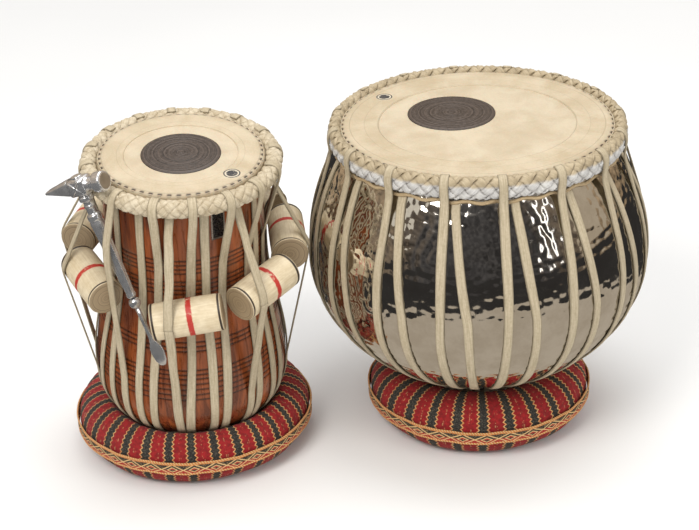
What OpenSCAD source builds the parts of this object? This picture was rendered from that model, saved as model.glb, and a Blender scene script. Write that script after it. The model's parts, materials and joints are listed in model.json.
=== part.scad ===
// Tabla: a pair of hand drums on ring cushions, with a tuning hammer.
// The treble drum (dayan) leans forward on the left, the bass drum (bayan) stands on the right.
// Every drum is drawn upright about its own axis and placed by in_dayan() or in_bayan().

/* [Arrangement] */
// Distance between the two drum axes, left to right
drum_gap = 253; // [252:1:300]
// How far the treble drum stands ahead of the bass drum
dayan_ahead = 26; // [0:1:60]
// Forward lean of the treble drum, in degrees
dayan_lean = 6.2; // [6:0.1:8]

/* [Treble drum] */
// Outer radius of the wooden shell below the head
dayan_top_r = 66.5; // [66:0.1:67]
// Outer radius of the wooden shell at its belly
dayan_belly_r = 81.5; // [81:0.1:82]
// Height of the belly above the foot point
dayan_belly_z = 75; // [74:0.5:76]
// Height of the rim above the foot point
dayan_rim_z = 268; // [266:1:270]
// Wall thickness of the wooden shell
dayan_wall = 15; // [10:1:16]

/* [Bass drum] */
// Outer radius of the metal bowl at its widest
bayan_belly_r = 145; // [144:0.5:145]
// Height of the widest level above the floor
bayan_belly_z = 163; // [162:0.5:164]
// Height of the rolled rim above the floor
bayan_rim_z = 270; // [268:1:272]
// Wall thickness of the metal bowl
bayan_wall = 2; // [1.5:0.1:3]

/* [Heads] */
// Radius of the tuning paste patch on the treble head
dayan_syahi_r = 33; // [28:0.5:36]
// Radius of the tuning paste patch on the bass head
bayan_syahi_r = 37.5; // [32:0.5:42]
// Inner edge of the treble head's overlaid skin ring, as a share of the rim radius
dayan_kinar_share = 0.7; // [0.6:0.01:0.75]
// Inner edge of the bass head's overlaid skin ring, as a share of the rim radius
bayan_kinar_share = 0.75; // [0.65:0.01:0.8]
// Thickness of one skin
skin = 1; // [0.6:0.1:1.2]

/* [Lacing] */
// Width of the rawhide strap
strap_w = 7.6; // [5:0.1:9]
// Thickness of the rawhide strap
strap_t = 1.6; // [1:0.1:2]
// Angle of the first run that crosses over the braid
first_run = 6; // [5:0.5:7]

/* [Tuning blocks] */
// Length of a wooden tuning block
gatta_len = 59; // [50:1:59]
// Radius of a wooden tuning block
gatta_r = 15.5; // [13:0.1:15.5]

/* [Cushions] */
// Outer radius of the treble drum's ring cushion
dayan_cushion_r = 102.7; // [100:0.5:106]
// Outer radius of the bass drum's ring cushion
bayan_cushion_r = 98; // [95:0.5:102]
// Radius of the cushion's round section
cushion_tube = 27; // [26.5:0.1:27.5]

/* [Hidden] */
$fn = 96;

gap = 0.3;                      // clearance between pieces that touch
far = 400;                      // longer than any piece

// Placement. The origin is the middle of the whole group, on the floor.
bayan_at = [105.3, 3, 0];
dayan_at = bayan_at + [-drum_gap, -dayan_ahead, 12];
dayan_side_lean = 1.5;

// Colours
skin_colour = [0.90, 0.83, 0.68];
strap_colour = [0.83, 0.76, 0.62];
block_colour = [0.86, 0.76, 0.58];
steel_colour = [0.75, 0.76, 0.78];

// ---- shell profiles: outer radius as a function of height -------------------------------

// Closing curve of a drum's lower body: belly radius rm at zm, shut at zb
function lower_r(z, rm, zm, zb, p, q) = rm * pow(max(0, 1 - pow((zm - z) / (zm - zb), p)), 1 / q);

dayan_base_z = 16;              // flat foot of the wooden shell
dayan_shut_z = 14;              // where its lower curve would close
dayan_straight_z = 185;         // the shell is a cylinder above this height
function dayan_r(z) =
    z < dayan_belly_z ? lower_r(z, dayan_belly_r, dayan_belly_z, dayan_shut_z, 2.4, 2.2)
    : z > dayan_straight_z ? dayan_top_r
    : dayan_top_r + (dayan_belly_r - dayan_top_r) / 2
        * (1 + cos(180 * (z - dayan_belly_z) / (dayan_straight_z - dayan_belly_z)));

bayan_base_z = 43;              // flat foot of the bowl
bayan_shut_z = 40;              // where its lower curve would close
bayan_rim_r = 110.5;              // outer radius of the bowl at its mouth
function bayan_r(z) =
    z < bayan_belly_z ? lower_r(z, bayan_belly_r, bayan_belly_z, bayan_shut_z, 2.1, 1.7)
    : bayan_belly_r - (bayan_belly_r - bayan_rim_r)
        * pow((z - bayan_belly_z) / (bayan_rim_z - bayan_belly_z), 2);

// Heights from high to low, spaced evenly from z1 down to z2
function levels(z1, z2, n) = [for (i = [0 : n]) z1 + (z2 - z1) * i / n];

dayan_lie_z = 206;              // where the straps come to lie on the shell
dayan_levels = concat([dayan_rim_z, dayan_lie_z], levels(dayan_straight_z, dayan_belly_z, 11),
    levels(65, 25, 8), [20, 18, dayan_base_z]);
bayan_levels = concat(levels(bayan_rim_z, bayan_belly_z, 10),
    levels(bayan_belly_z - 9, 55, 11), [51, 48, 45, bayan_base_z]);

dayan_outline = [for (z = dayan_levels) [dayan_r(z), z]];
bayan_outline = [for (z = bayan_levels) [bayan_r(z), z]];

// ---- flat helpers -----------------------------------------------------------------------

function reversed(list) = [for (i = [len(list) - 1 : -1 : 0]) list[i]];

// Unit normal of a path at point i, to the left of the way it runs
function normal_at(path, i) =
    let (a = path[max(i - 1, 0)], b = path[min(i + 1, len(path) - 1)], d = b - a)
    [-d[1], d[0]] / norm(d);

// The path moved sideways by d
function shifted(path, d) = [for (i = [0 : len(path) - 1]) path[i] + d * normal_at(path, i)];

// One flat strap that follows a path of [radius, height] points at one angle round the drum
module strap(path, angle) {
    inner = shifted(path, gap);
    outer = shifted(path, gap + strap_t);
    rotate([90, 0, angle]) linear_extrude(strap_w, center = true)
        polygon(concat(inner, reversed(outer)));
}

module in_bayan() translate(bayan_at) children();
module in_dayan() translate(dayan_at) rotate([dayan_lean, dayan_side_lean, 0]) children();

// A round ring: section radius t, centred at radius r and height z
module ring(r, z, t) rotate_extrude($fn = 120) translate([r, z]) circle(t, $fn = 32);

// A washer of skin
module washer(r_in, r_out, z, t) translate([0, 0, z]) rotate_extrude($fn = 120)
    translate([r_in, 0]) square([r_out - r_in, t]);

// A skin pulled over the rim: flat top with a hole of radius r_in, and a skirt down to z_low
module skin_cap(r_in, r_out, z, z_low) rotate_extrude($fn = 120) union() {
    translate([r_in, z]) square([r_out - r_in, skin]);
    translate([r_out - skin, z_low]) square([skin, z + skin - z_low]);
}

// ---- ring cushions ----------------------------------------------------------------------

cushion_mid_z = 25;             // height of the section's centre
stuffing_r = 10;                // radius of the firm core
stuffing_out = 6;               // the core lies outside and below the section's centre
stuffing_z = 17;
band_t = 1.2;                   // thickness of the woven band
band_low = -12;                 // lower and upper edge of the band, in degrees round the section
band_high = 8;

module cushion_section(mid_r) difference() {
    translate([mid_r, cushion_mid_z]) circle(cushion_tube, $fn = 64);
    translate([0, -far]) square([far, far]);
    translate([mid_r + stuffing_out, stuffing_z]) circle(stuffing_r + 0.2, $fn = 48);
}

module cushion_band(mid_r) rotate_extrude($fn = 120) intersection() {
    difference() {
        translate([mid_r, cushion_mid_z]) circle(cushion_tube + gap + band_t, $fn = 64);
        translate([mid_r, cushion_mid_z]) circle(cushion_tube + gap, $fn = 64);
    }
    translate([mid_r, cushion_mid_z]) polygon([[0, 0],
        2 * cushion_tube * [cos(band_low), sin(band_low)],
        2 * cushion_tube * [cos(band_high), sin(band_high)]]);
}

// The room a drum and its straps take up, as a solid that presses the seat into the cushion
module seat(outline) {
    room = gap + strap_t + 0.7;
    pressed = concat([for (p = outline) if (p[1] < 130) p + [room, 0]],
        [[0, outline[len(outline) - 1][1]]]);
    rotate_extrude($fn = 120) union() {
        polygon(concat(pressed, [[0, 130]]));
        translate([0, -room]) polygon(concat(pressed, [[0, 130]]));
    }
}

module bayan_cushion_cover() color([0.55, 0.10, 0.10]) difference() {
    in_bayan() rotate_extrude($fn = 120) cushion_section(bayan_cushion_r - cushion_tube);
    in_bayan() seat(bayan_outline);
}
module bayan_cushion_stuffing() color("beige")
    in_bayan() ring(bayan_cushion_r - cushion_tube + stuffing_out, stuffing_z, stuffing_r);
module bayan_cushion_band() color([0.75, 0.45, 0.25])
    in_bayan() cushion_band(bayan_cushion_r - cushion_tube);

module dayan_floor() translate([dayan_at[0], dayan_at[1], 0]) children();
module dayan_cushion_cover() color([0.55, 0.10, 0.10]) difference() {
    dayan_floor() rotate_extrude($fn = 120) cushion_section(dayan_cushion_r - cushion_tube);
    in_dayan() seat(dayan_outline);
}
module dayan_cushion_stuffing() color("beige")
    dayan_floor() ring(dayan_cushion_r - cushion_tube + stuffing_out, stuffing_z, stuffing_r);
module dayan_cushion_band() color([0.75, 0.45, 0.25])
    dayan_floor() cushion_band(dayan_cushion_r - cushion_tube);

// ---- bass drum --------------------------------------------------------------------------

bead_r = 3;                     // rolled bead at the mouth of the bowl
bayan_head_z = bayan_rim_z + bead_r + gap;
bayan_skirt_z = 266.6;          // lower edge of the skins that are pulled over the rim
bayan_braid_r = bayan_rim_r + 8.4;
bayan_braid_z = 266;
bayan_strand = 5.6;

bead = [for (a = [265 : -15 : -50]) [bayan_rim_r - 0.5, bayan_rim_z] + bead_r * [cos(a), sin(a)]];
wall_levels = [for (z = bayan_levels) if (z < bayan_rim_z) z];
module bayan_shell() color("silver") in_bayan() rotate_extrude($fn = 160)
    polygon(concat([for (z = wall_levels) [bayan_r(z), z]],
        [[0, bayan_base_z], [0, bayan_base_z + bayan_wall]],
        reversed([for (z = wall_levels)
            [max(0.01, bayan_r(z) - bayan_wall), max(z, bayan_base_z + bayan_wall)]]),
        bead));
module bayan_bharti() color(skin_colour * 0.9)
    in_bayan() washer(86, bayan_rim_r, bayan_head_z, skin);
module bayan_maidan() color(skin_colour)
    in_bayan() skin_cap(0, bayan_rim_r + 4.5, bayan_head_z + skin, bayan_skirt_z);
module bayan_kinar() color(skin_colour * 0.97)
    in_bayan() skin_cap(bayan_kinar_share * bayan_rim_r, bayan_rim_r + 5.6,
        bayan_head_z + 2 * skin + 0.02, bayan_skirt_z);
module bayan_syahi() color([0.20, 0.18, 0.17]) in_bayan()
    translate([-20.3, 21.5, bayan_head_z + 2 * skin]) cylinder(1.6, r = bayan_syahi_r);

// Braided collar: an upper and a lower strand round the skirt of the head
module collar(r, z, strand, rise, skirt_r) rotate_extrude($fn = 120) difference() {
    union() {
        translate([r, z + rise]) circle(strand, $fn = 40);
        translate([r + 0.5, z]) circle(strand, $fn = 40);
    }
    square([skirt_r + gap, far]);
}
braid_rise = 8;                 // the bass drum's upper strand above its lower one
module bayan_gajra() color(strap_colour * 0.9)
    in_bayan() collar(bayan_braid_r, bayan_braid_z, bayan_strand, braid_rise, bayan_rim_r + 5.6);
module bayan_hoop() color([0.70, 0.58, 0.42])
    in_bayan() ring(bayan_rim_r + 9.9, bayan_braid_z - 8.5, 1.8);

bayan_gudri_r = 36;
gudri_tube = 4;
module bayan_gudri() color([0.35, 0.28, 0.22])
    in_bayan() ring(bayan_gudri_r, bayan_base_z - gudri_tube - 1, gudri_tube);

// Where a strap leaves the braid, and the bowl it then lies on
bayan_leave = [bayan_braid_r + 0.5 + bayan_strand, bayan_braid_z];
bayan_lie_z = 207;
strap_foot_z = 47;
function bayan_lie(from_z) = [for (p = bayan_outline) if (p[1] <= from_z && p[1] > strap_foot_z) p];

// Over the braid: out of a hole at the head's edge, round the collar, down to the gudri
bayan_over = concat(
    [for (a = [110 : -27.5 : 0]) [bayan_braid_r + 0.5, bayan_braid_z + braid_rise]
        + (bayan_strand + 0.2) * [cos(a), sin(a)]],
    [bayan_leave + [0.2, 0], bayan_leave + [-0.6, -6]], bayan_lie(bayan_lie_z));
bayan_under = bayan_lie(254);

module bayan_straps_over() color(strap_colour) in_bayan()
    for (i = [0 : 15]) strap(bayan_over, first_run + i * 22.5);
module bayan_straps_under() color(strap_colour * 0.95) in_bayan()
    for (i = [0 : 15]) strap(bayan_under, first_run + 11.25 + i * 22.5);

// ---- treble drum ------------------------------------------------------------------------

dayan_braid_r = 75.2;           // centre of the braided collar
dayan_braid_z = 263;
dayan_strand = 7;
dayan_head_z = dayan_rim_z + 0.2;

plate_w = 12;                   // plain plate let into the shell
plate_h = 26;
plate_z = 225;
plate_angle = 298;
module plate_room(grow) rotate([0, 0, plate_angle]) intersection() {
    translate([0, 0, plate_z]) difference() {
        cylinder(plate_h + 2 * grow, r = dayan_top_r + 0.1 + grow);
        translate([0, 0, -1]) cylinder(plate_h + 4, r = dayan_top_r - 0.8 - grow);
    }
    translate([dayan_top_r - 10, -plate_w / 2 - grow, plate_z - 1]) cube([20, plate_w + 2 * grow,
        plate_h + 4]);
}

module dayan_shell() color([0.45, 0.16, 0.07]) in_dayan() difference() {
    rotate_extrude($fn = 160) polygon(concat(dayan_outline,
        [[0, dayan_base_z], [0, 62]],
        [for (z = [62, 80, 110, 150, 200, dayan_rim_z]) [dayan_r(z) - dayan_wall
            - (z < 70 ? 12 : 0), z]]));
    plate_room(0.05);
}
module dayan_plate() color([0.25, 0.25, 0.27]) in_dayan() plate_room(0);
module dayan_bharti() color(skin_colour * 0.9)
    in_dayan() washer(54, dayan_top_r, dayan_head_z, skin);
module dayan_maidan() color(skin_colour)
    in_dayan() skin_cap(0, dayan_top_r + gap + skin, dayan_head_z + skin, 257);
module dayan_kinar() color(skin_colour * 0.97)
    in_dayan() skin_cap(dayan_kinar_share * dayan_top_r, dayan_top_r + gap + 2 * skin + 0.1,
        dayan_head_z + 2 * skin + 0.02, 257);
module dayan_syahi() color([0.20, 0.18, 0.17]) in_dayan()
    translate([0, 0, dayan_head_z + 2 * skin]) cylinder(1.8, r = dayan_syahi_r);
module dayan_gajra() color(strap_colour) in_dayan() rotate_extrude($fn = 120) difference() {
    translate([dayan_braid_r, dayan_braid_z]) circle(dayan_strand, $fn = 40);
    square([dayan_top_r + gap + 2 * skin + 0.3, far]);
}
dayan_gudri_r = 34;
module dayan_gudri() color([0.35, 0.28, 0.22])
    in_dayan() ring(dayan_gudri_r, dayan_base_z - gudri_tube - 1, gudri_tube);

function dayan_lie(from_z) = [for (p = dayan_outline) if (p[1] <= from_z && p[1] > 24) p];
dayan_low_run = dayan_lie(dayan_belly_z + 0.1);
round_braid = [for (a = [110 : -27.5 : 0]) [dayan_braid_r, dayan_braid_z]
    + dayan_strand * [cos(a), sin(a)]];
dayan_over = concat(round_braid, [[dayan_braid_r + dayan_strand - 1.5, 256]], dayan_lie(dayan_lie_z));
dayan_under = concat([[dayan_top_r, 254]], dayan_lie(dayan_lie_z));

// Blocks: angle round the shell, height above the foot point, tilt
gatta_angle = [273, 319.5, 5, 52, 107, 162.5, 208.5];
gatta_z = [168, 176, 185, 186, 184, 190, 176];
gatta_tilt = [8, 5, 0, 0, 0, 0, -4];
gatta_run = [264.75, 309.75, 354.75, 39.75, 107.25, 174.75, 197.25];
hammer_run = first_run + 225.6;

// The blocks' axes lie on a straight slope that clears the shell and the runs under them
slope_top = [dayan_r(195), 195];
slope_low = [dayan_r(145), 145];
function slope_r(z) = slope_low[0] + (slope_top[0] - slope_low[0]) * (z - 145) / 50;
gatta_clear = strap_t + 3 * gap;
function gatta_axis_r(z) = slope_r(z) + gatta_clear + gatta_r;

module gatta(i) color(block_colour) in_dayan() rotate([0, 0, gatta_angle[i]])
    translate([gatta_axis_r(gatta_z[i]), 0, gatta_z[i]]) rotate([90 + gatta_tilt[i], 0, 0])
        cylinder(gatta_len, r = gatta_r, center = true, $fn = 64);

// A run stretched from the braid over a block's crest and straight down to the belly
function gatta_path(i) =
    let (z = gatta_z[i], crest = gatta_axis_r(z),
        off = gatta_run[i] - gatta_angle[i] > 180 ? gatta_run[i] - gatta_angle[i] - 360
            : gatta_run[i] - gatta_angle[i],
        lift = tan(gatta_tilt[i]) * crest * sin(off),
        out = crest / cos(off), bulge = gatta_r / cos(off))
    concat([[dayan_top_r + 5, 254]],
        [for (a = [24 : -6 : -12]) [out + (bulge + 0.9) * cos(a),
            z + lift + (gatta_r + 0.9) * sin(a)]],
        dayan_low_run);
module gatta_strap(i) color(strap_colour) in_dayan() strap(gatta_path(i), gatta_run[i]);

module is_gatta_run(angle, want) {
    hits = [for (g = gatta_run) if (abs(g - angle) < 1 || abs(g - angle - 360) < 1
        || abs(g - angle + 360) < 1) g];
    if ((len(hits) > 0) == want) children();
}
module dayan_straps_over() color(strap_colour) in_dayan()
    for (i = [0 : 15]) if (i != 10) strap(dayan_over, first_run + i * 22.5);
module dayan_straps_under() color(strap_colour * 0.95) in_dayan()
    for (i = [0 : 15]) is_gatta_run(first_run + 11.25 + i * 22.5, false)
        strap(dayan_under, first_run + 11.25 + i * 22.5);

// ---- hammer -----------------------------------------------------------------------------

hammer_eye = [-77, -52, 272];   // middle of the head, in the treble drum's frame
hammer_tip = [-17, -85, 119];   // end of the blade
hammer_way = hammer_tip - hammer_eye;
hammer_len = norm(hammer_way);
hammer_turn = atan2(hammer_way[1], hammer_way[0]);
hammer_dip = acos(hammer_way[2] / hammer_len);
head_turn = 178;                // turns the head about the handle
blade_face = -106;              // turns the flat of the blade to face away from the drum
head_r = 8.5;
grip_end = 108;                 // the ball collar, measured from the eye
hammer_strap_out = 91.2;        // the run that holds the handle passes it at this radius

// Along the hammer: +Z runs from the eye to the blade's edge, +X to the striking face
module in_hammer() in_dayan() translate(hammer_eye)
    rotate([0, hammer_dip, hammer_turn]) rotate([0, 0, head_turn]) children();

module hammer_head() color(steel_colour) in_hammer() difference() {
    union() {
        rotate([0, 90, 0]) cylinder(18, r = 5, $fn = 48);
        translate([14, 0, 0]) rotate([0, 90, 0]) cylinder(12, r = head_r, $fn = 64);
        translate([-8, -8, -8]) cube([17, 16, 16]);
        rotate([90, 0, 0]) linear_extrude(11, center = true)
            polygon([[-7, -8], [-7, 8], [-34, 1.2], [-34, -1.2]]);
    }
    translate([0, 0, -far / 2]) cylinder(far, r = 5, $fn = 48);
}
module hammer_handle() color(steel_colour) in_hammer() union() {
    translate([0, 0, -9]) cylinder(17.5, r = 4.9, $fn = 48);
    translate([0, 0, 8.5]) cylinder(5, r = 6, $fn = 48);
    translate([0, 0, 13.5]) cylinder(12, r = 4, $fn = 48);
    translate([0, 0, 25.5]) cylinder(4, r = 6, $fn = 48);
    translate([0, 0, 29.5]) cylinder(grip_end - 33.5, r1 = 6, r2 = 4, $fn = 48);
    translate([0, 0, grip_end]) sphere(5, $fn = 48);
}
module hammer_blade() color(steel_colour) in_hammer() translate([0, 0, grip_end]) difference() {
    union() {
        cylinder(hammer_len - grip_end - 24, r = 2.2, $fn = 32);
        rotate([0, 0, blade_face - head_turn]) translate([0, 0, hammer_len - grip_end - 26])
            rotate([90, 0, 90]) linear_extrude(2.4, center = true)
                polygon([[-2, 0], [2, 0], [6, 8], [6, 22], [0, 26], [-6, 22], [-6, 8]]);
    }
    sphere(5.05, $fn = 48);
}
hammer_strap_path = concat(round_braid, [[hammer_strap_out, 228], [hammer_strap_out, 211],
    [hammer_strap_out - 2, 195], [dayan_belly_r + 1, 100]], dayan_low_run);
module hammer_strap() color(strap_colour) in_dayan() strap(hammer_strap_path, hammer_run);

// ---- drawing ----------------------------------------------------------------------------

bayan_cushion_cover();
bayan_cushion_stuffing();
bayan_cushion_band();
bayan_shell();
bayan_bharti();
bayan_maidan();
bayan_kinar();
bayan_syahi();
bayan_gajra();
bayan_hoop();
bayan_straps_over();
bayan_straps_under();
bayan_gudri();
dayan_cushion_cover();
dayan_cushion_stuffing();
dayan_cushion_band();
dayan_shell();
dayan_plate();
dayan_bharti();
dayan_maidan();
dayan_kinar();
dayan_syahi();
dayan_gajra();
dayan_straps_over();
dayan_straps_under();
dayan_gudri();
hammer_strap();
hammer_head();
hammer_handle();
hammer_blade();
for (i = [0 : 6]) gatta(i);
for (i = [0 : 6]) gatta_strap(i);
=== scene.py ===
import json
import math

import bpy
import numpy as np
from mathutils import Matrix, Vector


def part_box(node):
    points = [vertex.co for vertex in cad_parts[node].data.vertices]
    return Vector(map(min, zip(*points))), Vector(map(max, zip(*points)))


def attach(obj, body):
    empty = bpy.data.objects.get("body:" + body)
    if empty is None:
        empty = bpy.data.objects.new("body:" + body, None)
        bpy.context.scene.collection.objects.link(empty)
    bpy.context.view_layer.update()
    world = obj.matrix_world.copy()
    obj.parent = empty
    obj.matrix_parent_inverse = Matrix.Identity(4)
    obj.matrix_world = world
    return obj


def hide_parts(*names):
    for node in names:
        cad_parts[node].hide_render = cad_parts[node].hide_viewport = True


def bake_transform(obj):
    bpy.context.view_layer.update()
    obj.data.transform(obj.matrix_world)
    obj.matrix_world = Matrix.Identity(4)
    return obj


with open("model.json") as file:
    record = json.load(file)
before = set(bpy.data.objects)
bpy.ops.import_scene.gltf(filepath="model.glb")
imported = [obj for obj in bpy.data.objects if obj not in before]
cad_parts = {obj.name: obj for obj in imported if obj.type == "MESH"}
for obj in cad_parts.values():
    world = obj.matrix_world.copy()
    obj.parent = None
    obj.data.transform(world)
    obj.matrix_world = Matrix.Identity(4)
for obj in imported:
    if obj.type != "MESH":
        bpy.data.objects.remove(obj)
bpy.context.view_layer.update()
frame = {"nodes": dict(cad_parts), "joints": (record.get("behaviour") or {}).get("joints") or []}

MM = 0.001
TAU = 2 * math.pi

RUNS = 16                      # over-runs of lacing on each drum, and as many under-runs
FIRST_RUN = 6.0                # angle of the first over-run, in degrees
HAMMER_RUN = 10                # the treble drum's over-run that holds the hammer
GATTA_RUNS = (11, 13, 15, 1, 4, 7, 8)      # the under-run that passes over each block
SHELL_RIM_Z = 268              # the treble shell's rim
BOWL_RIM_Z = 266.9             # the bass bowl's wall ends here, under its bead
STRAP_W, STRAP_T = 7.6, 1.5
GUDRI = {"dayan": (34.0, 11.0), "bayan": (36.0, 38.0)}      # bottom rings' radius and height
GUDRI_TUBE = 4.0

# ---- places read off the frame ------------------------------------------------------------


def unit(v):
    v = np.asarray(v, float)
    return v / np.linalg.norm(v)


def mesh_points(mesh):
    co = np.empty(len(mesh.vertices) * 3, np.float32)
    mesh.vertices.foreach_get("co", co)
    return co.reshape(-1, 3).astype(float)


def vertices(node):
    return mesh_points(frame["nodes"][node].data)


def finish_node(node, look):
    """Gives a CAD node that stays visible its look."""
    materials = frame["nodes"][node].data.materials
    materials.clear()
    materials.append(look.material)


def middle(node):
    low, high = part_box(node)
    return np.array((low + high) / 2)


def joint_axis(name):
    return unit(next(j for j in frame["joints"] if j["name"] == name)["axis"])


class Drum:
    """A drum's own axes: millimetres from its foot point, with z up its axis."""

    def __init__(self, origin, axis):
        x = unit(np.cross((0, 1, 0), axis))
        self.origin = np.asarray(origin, float)
        self.axes = np.stack([x, np.cross(axis, x), axis])

    def place(self, points):
        return self.origin + (np.asarray(points, float) * MM) @ self.axes

    def local(self, points):
        return (points - self.origin) @ self.axes.T / MM

    def extent(self, node):
        """Inner and outer radius, lower and upper height of a CAD node about this axis."""
        p = self.local(vertices(node))
        r = np.hypot(p[:, 0], p[:, 1])
        return r.min(), r.max(), p[:, 2].min(), p[:, 2].max()


dayan_axis = joint_axis("dayan_lift")
dayan = Drum(middle("dayan_gudri") - dayan_axis * GUDRI["dayan"][1] * MM, dayan_axis)
bayan_foot = middle("bayan_gudri") * (1, 1, 0)
bayan = Drum(bayan_foot, joint_axis("bayan_lift"))

# ---- paths and profiles -------------------------------------------------------------------


def travelled(path):
    """How far along the path each of its points is."""
    return np.r_[0, np.cumsum(np.linalg.norm(np.diff(path, axis=0), axis=1))]


def tangents(path):
    t = np.gradient(path, axis=0)
    return t / np.maximum(np.linalg.norm(t, axis=1, keepdims=True), 1e-9)


def square_to(tangent, way):
    """The part of way, at unit length, that is square to the tangent."""
    way = way - tangent * np.sum(way * tangent, 1, keepdims=True)
    return way / np.linalg.norm(way, axis=1, keepdims=True)


def resample(path, step):
    """The path's points spaced evenly along it."""
    d = travelled(path)
    t = np.linspace(0, d[-1], max(2, int(d[-1] / step) + 1))
    return np.stack([np.interp(t, d, path[:, k]) for k in range(path.shape[1])], 1)


def softened(path, step, width):
    """The path resampled, with its corners rounded over about width and its ends kept."""
    fine = resample(np.asarray(path, float), step)
    k = min(max(1, int(width / step)), len(fine) - 1)
    head = 2 * fine[:1] - fine[k:0:-1]
    tail = 2 * fine[-1:] - fine[-2:-k - 2:-1]
    padded = np.concatenate([head, fine, tail])
    kernel = np.hanning(2 * k + 3)[1:-1]
    kernel /= kernel.sum()
    return np.stack([np.convolve(padded[:, c], kernel, "valid") for c in range(fine.shape[1])], 1)


def outline(drum, node, rim_z):
    """Outer profile of a turned shell, (radius, height) from the rim down, off the CAD node."""
    p = drum.local(vertices(node))
    r, z = np.hypot(p[:, 0], p[:, 1]), np.round(p[:, 2], 1)
    levels = np.unique(z[z <= rim_z + 0.05])[::-1]
    rows = np.array([(r[z == level].max(), level) for level in levels])
    kept = [rows[0]]
    for radius, level in rows[1:-1]:
        near = rows[abs(rows[:, 1] - level) < 60]
        above, below = near[near[:, 1] >= level, 0], near[near[:, 1] <= level, 0]
        if radius > min(above.max(), below.max()) - 3:
            kept.append((radius, level))
    return np.array([*kept, rows[-1]])


dayan_outline = softened(outline(dayan, "dayan_shell", SHELL_RIM_Z), 1.0, 8)
bayan_outline = softened(outline(bayan, "bayan_shell", BOWL_RIM_Z), 1.0, 8)


def radius_at(profile, z):
    return np.interp(z, profile[::-1, 1], profile[::-1, 0])


def cylindrical(phi, r, z):
    """Points from angles in degrees, radii and heights."""
    a = np.radians(phi)
    return np.stack([r * np.cos(a), r * np.sin(a), z + 0 * a], -1)


# ---- meshes -------------------------------------------------------------------------------


class Shape:
    """Grids of points gathered into one mesh, with a UV and a shade value at each point."""

    def __init__(self):
        self.points, self.faces, self.uv, self.shade = [], [], [], []
        self.count = 0

    def add(self, points, u, v, shade=0.0, close_rows=False, close_columns=False):
        """points[i, j] in the frame. u and v have one row or column more where the grid closes."""
        rows, columns = points.shape[:2]
        i, j = np.meshgrid(np.arange(rows - (not close_rows)),
                           np.arange(columns - (not close_columns)), indexing="ij")
        i, j = i.ravel(), j.ravel()
        corners = [(i, j), (i, j + 1), (i + 1, j + 1), (i + 1, j)]
        self.faces.append(self.count + np.stack(
            [(a % rows) * columns + b % columns for a, b in corners], 1))
        grid = (rows + close_rows, columns + close_columns)
        uv = np.stack([np.broadcast_to(u, grid), np.broadcast_to(v, grid)], -1)
        self.uv.append(np.stack([uv[a, b] for a, b in corners], 1))
        self.points.append(points.reshape(-1, 3))
        self.shade.append(np.broadcast_to(shade, (rows, columns)).ravel())
        self.count += rows * columns

    def make(self, name, look, body=None, replaces=(), slot=None):
        points, faces = np.concatenate(self.points), np.concatenate(self.faces)
        mesh = bpy.data.meshes.new(name)
        mesh.vertices.add(len(points))
        mesh.vertices.foreach_set("co", points.astype(np.float32).ravel())
        mesh.loops.add(faces.size)
        mesh.loops.foreach_set("vertex_index", faces.astype(np.int32).ravel())
        mesh.polygons.add(len(faces))
        mesh.polygons.foreach_set("loop_start", np.arange(0, faces.size, 4, dtype=np.int32))
        mesh.update(calc_edges=True)
        mesh.polygons.foreach_set("use_smooth", np.ones(len(faces), bool))
        layer = mesh.uv_layers.new(name="UVMap")
        layer.data.foreach_set("uv", np.concatenate(self.uv).astype(np.float32).ravel())
        shade = mesh.attributes.new("shade", "FLOAT", "POINT")
        shade.data.foreach_set("value", np.concatenate(self.shade).astype(np.float32))
        mesh.materials.append(look.material)
        piece = bpy.data.objects.new(name, mesh)
        bpy.context.scene.collection.objects.link(piece)
        return settle(piece, body, replaces)


def settle(piece, body, replaces):
    if body:
        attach(piece, body)
    if replaces:
        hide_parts(*replaces)
    return piece


def lathe(shape, drum, profile, columns, shade=0.0, bump=None, centre=(0, 0)):
    """Turns a (radius, height) profile. bump gives how far each point moves along the normal."""
    turn = np.arange(columns + 1) / columns
    along = travelled(profile)
    r = np.repeat(profile[:, :1], columns, 1)
    z = np.repeat(profile[:, 1:], columns, 1)
    if bump is not None:
        tangent = tangents(profile)
        normal = np.stack([-tangent[:, 1], tangent[:, 0]], 1)
        move = bump(turn[None, :-1] * TAU, profile[:, :1], profile[:, 1:], along[:, None])
        r = r + normal[:, :1] * move
        z = z + normal[:, 1:] * move
    points = cylindrical(turn[None, :-1] * 360, r, z)
    points[..., 0] += centre[0]
    points[..., 1] += centre[1]
    if np.ndim(shade) == 1:
        shade = shade[:, None]
    shape.add(drum.place(points), turn[None, :], along[:, None], shade, close_columns=True)


def section(corners, count=14):
    """A rounded rectangle's outline, half sizes 1 by 1; corners goes from 0.2 square to 1 round."""
    a = np.arange(count) / count * TAU
    c, s = np.cos(a), np.sin(a)
    return np.sign(c) * np.abs(c) ** corners[0], np.sign(s) * np.abs(s) ** corners[1]


def sweep(shape, path, side, out, half_w, half_t, place, corners=(0.35, 0.6), shift=0.0,
          shade=0.0, count=14):
    """A strap or strand: a rounded section carried along a path and pinched shut at its ends."""
    x, y = section(corners, count)
    half_w = np.broadcast_to(half_w, len(path))[:, None, None]
    half_t = np.broadcast_to(half_t, len(path))[:, None, None]
    ring = path[:, None] + side[:, None] * half_w * x[None, :, None] \
        + out[:, None] * half_t * y[None, :, None]
    ends = [np.repeat(path[k][None, None], count, 1) for k in (0, -1)]
    ring = np.concatenate([ends[0], ring, ends[1]])
    along = travelled(path)
    along = np.r_[along[0], along, along[-1]]
    across = np.r_[x, x[:1]][None, :] * float(half_w.max())
    if np.ndim(shade) == 1:
        shade = np.r_[shade[0], shade, shade[-1]][:, None]
    shape.add(place(ring), shift + along[:, None], across, shade, close_columns=True)


# ---- looks --------------------------------------------------------------------------------


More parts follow.
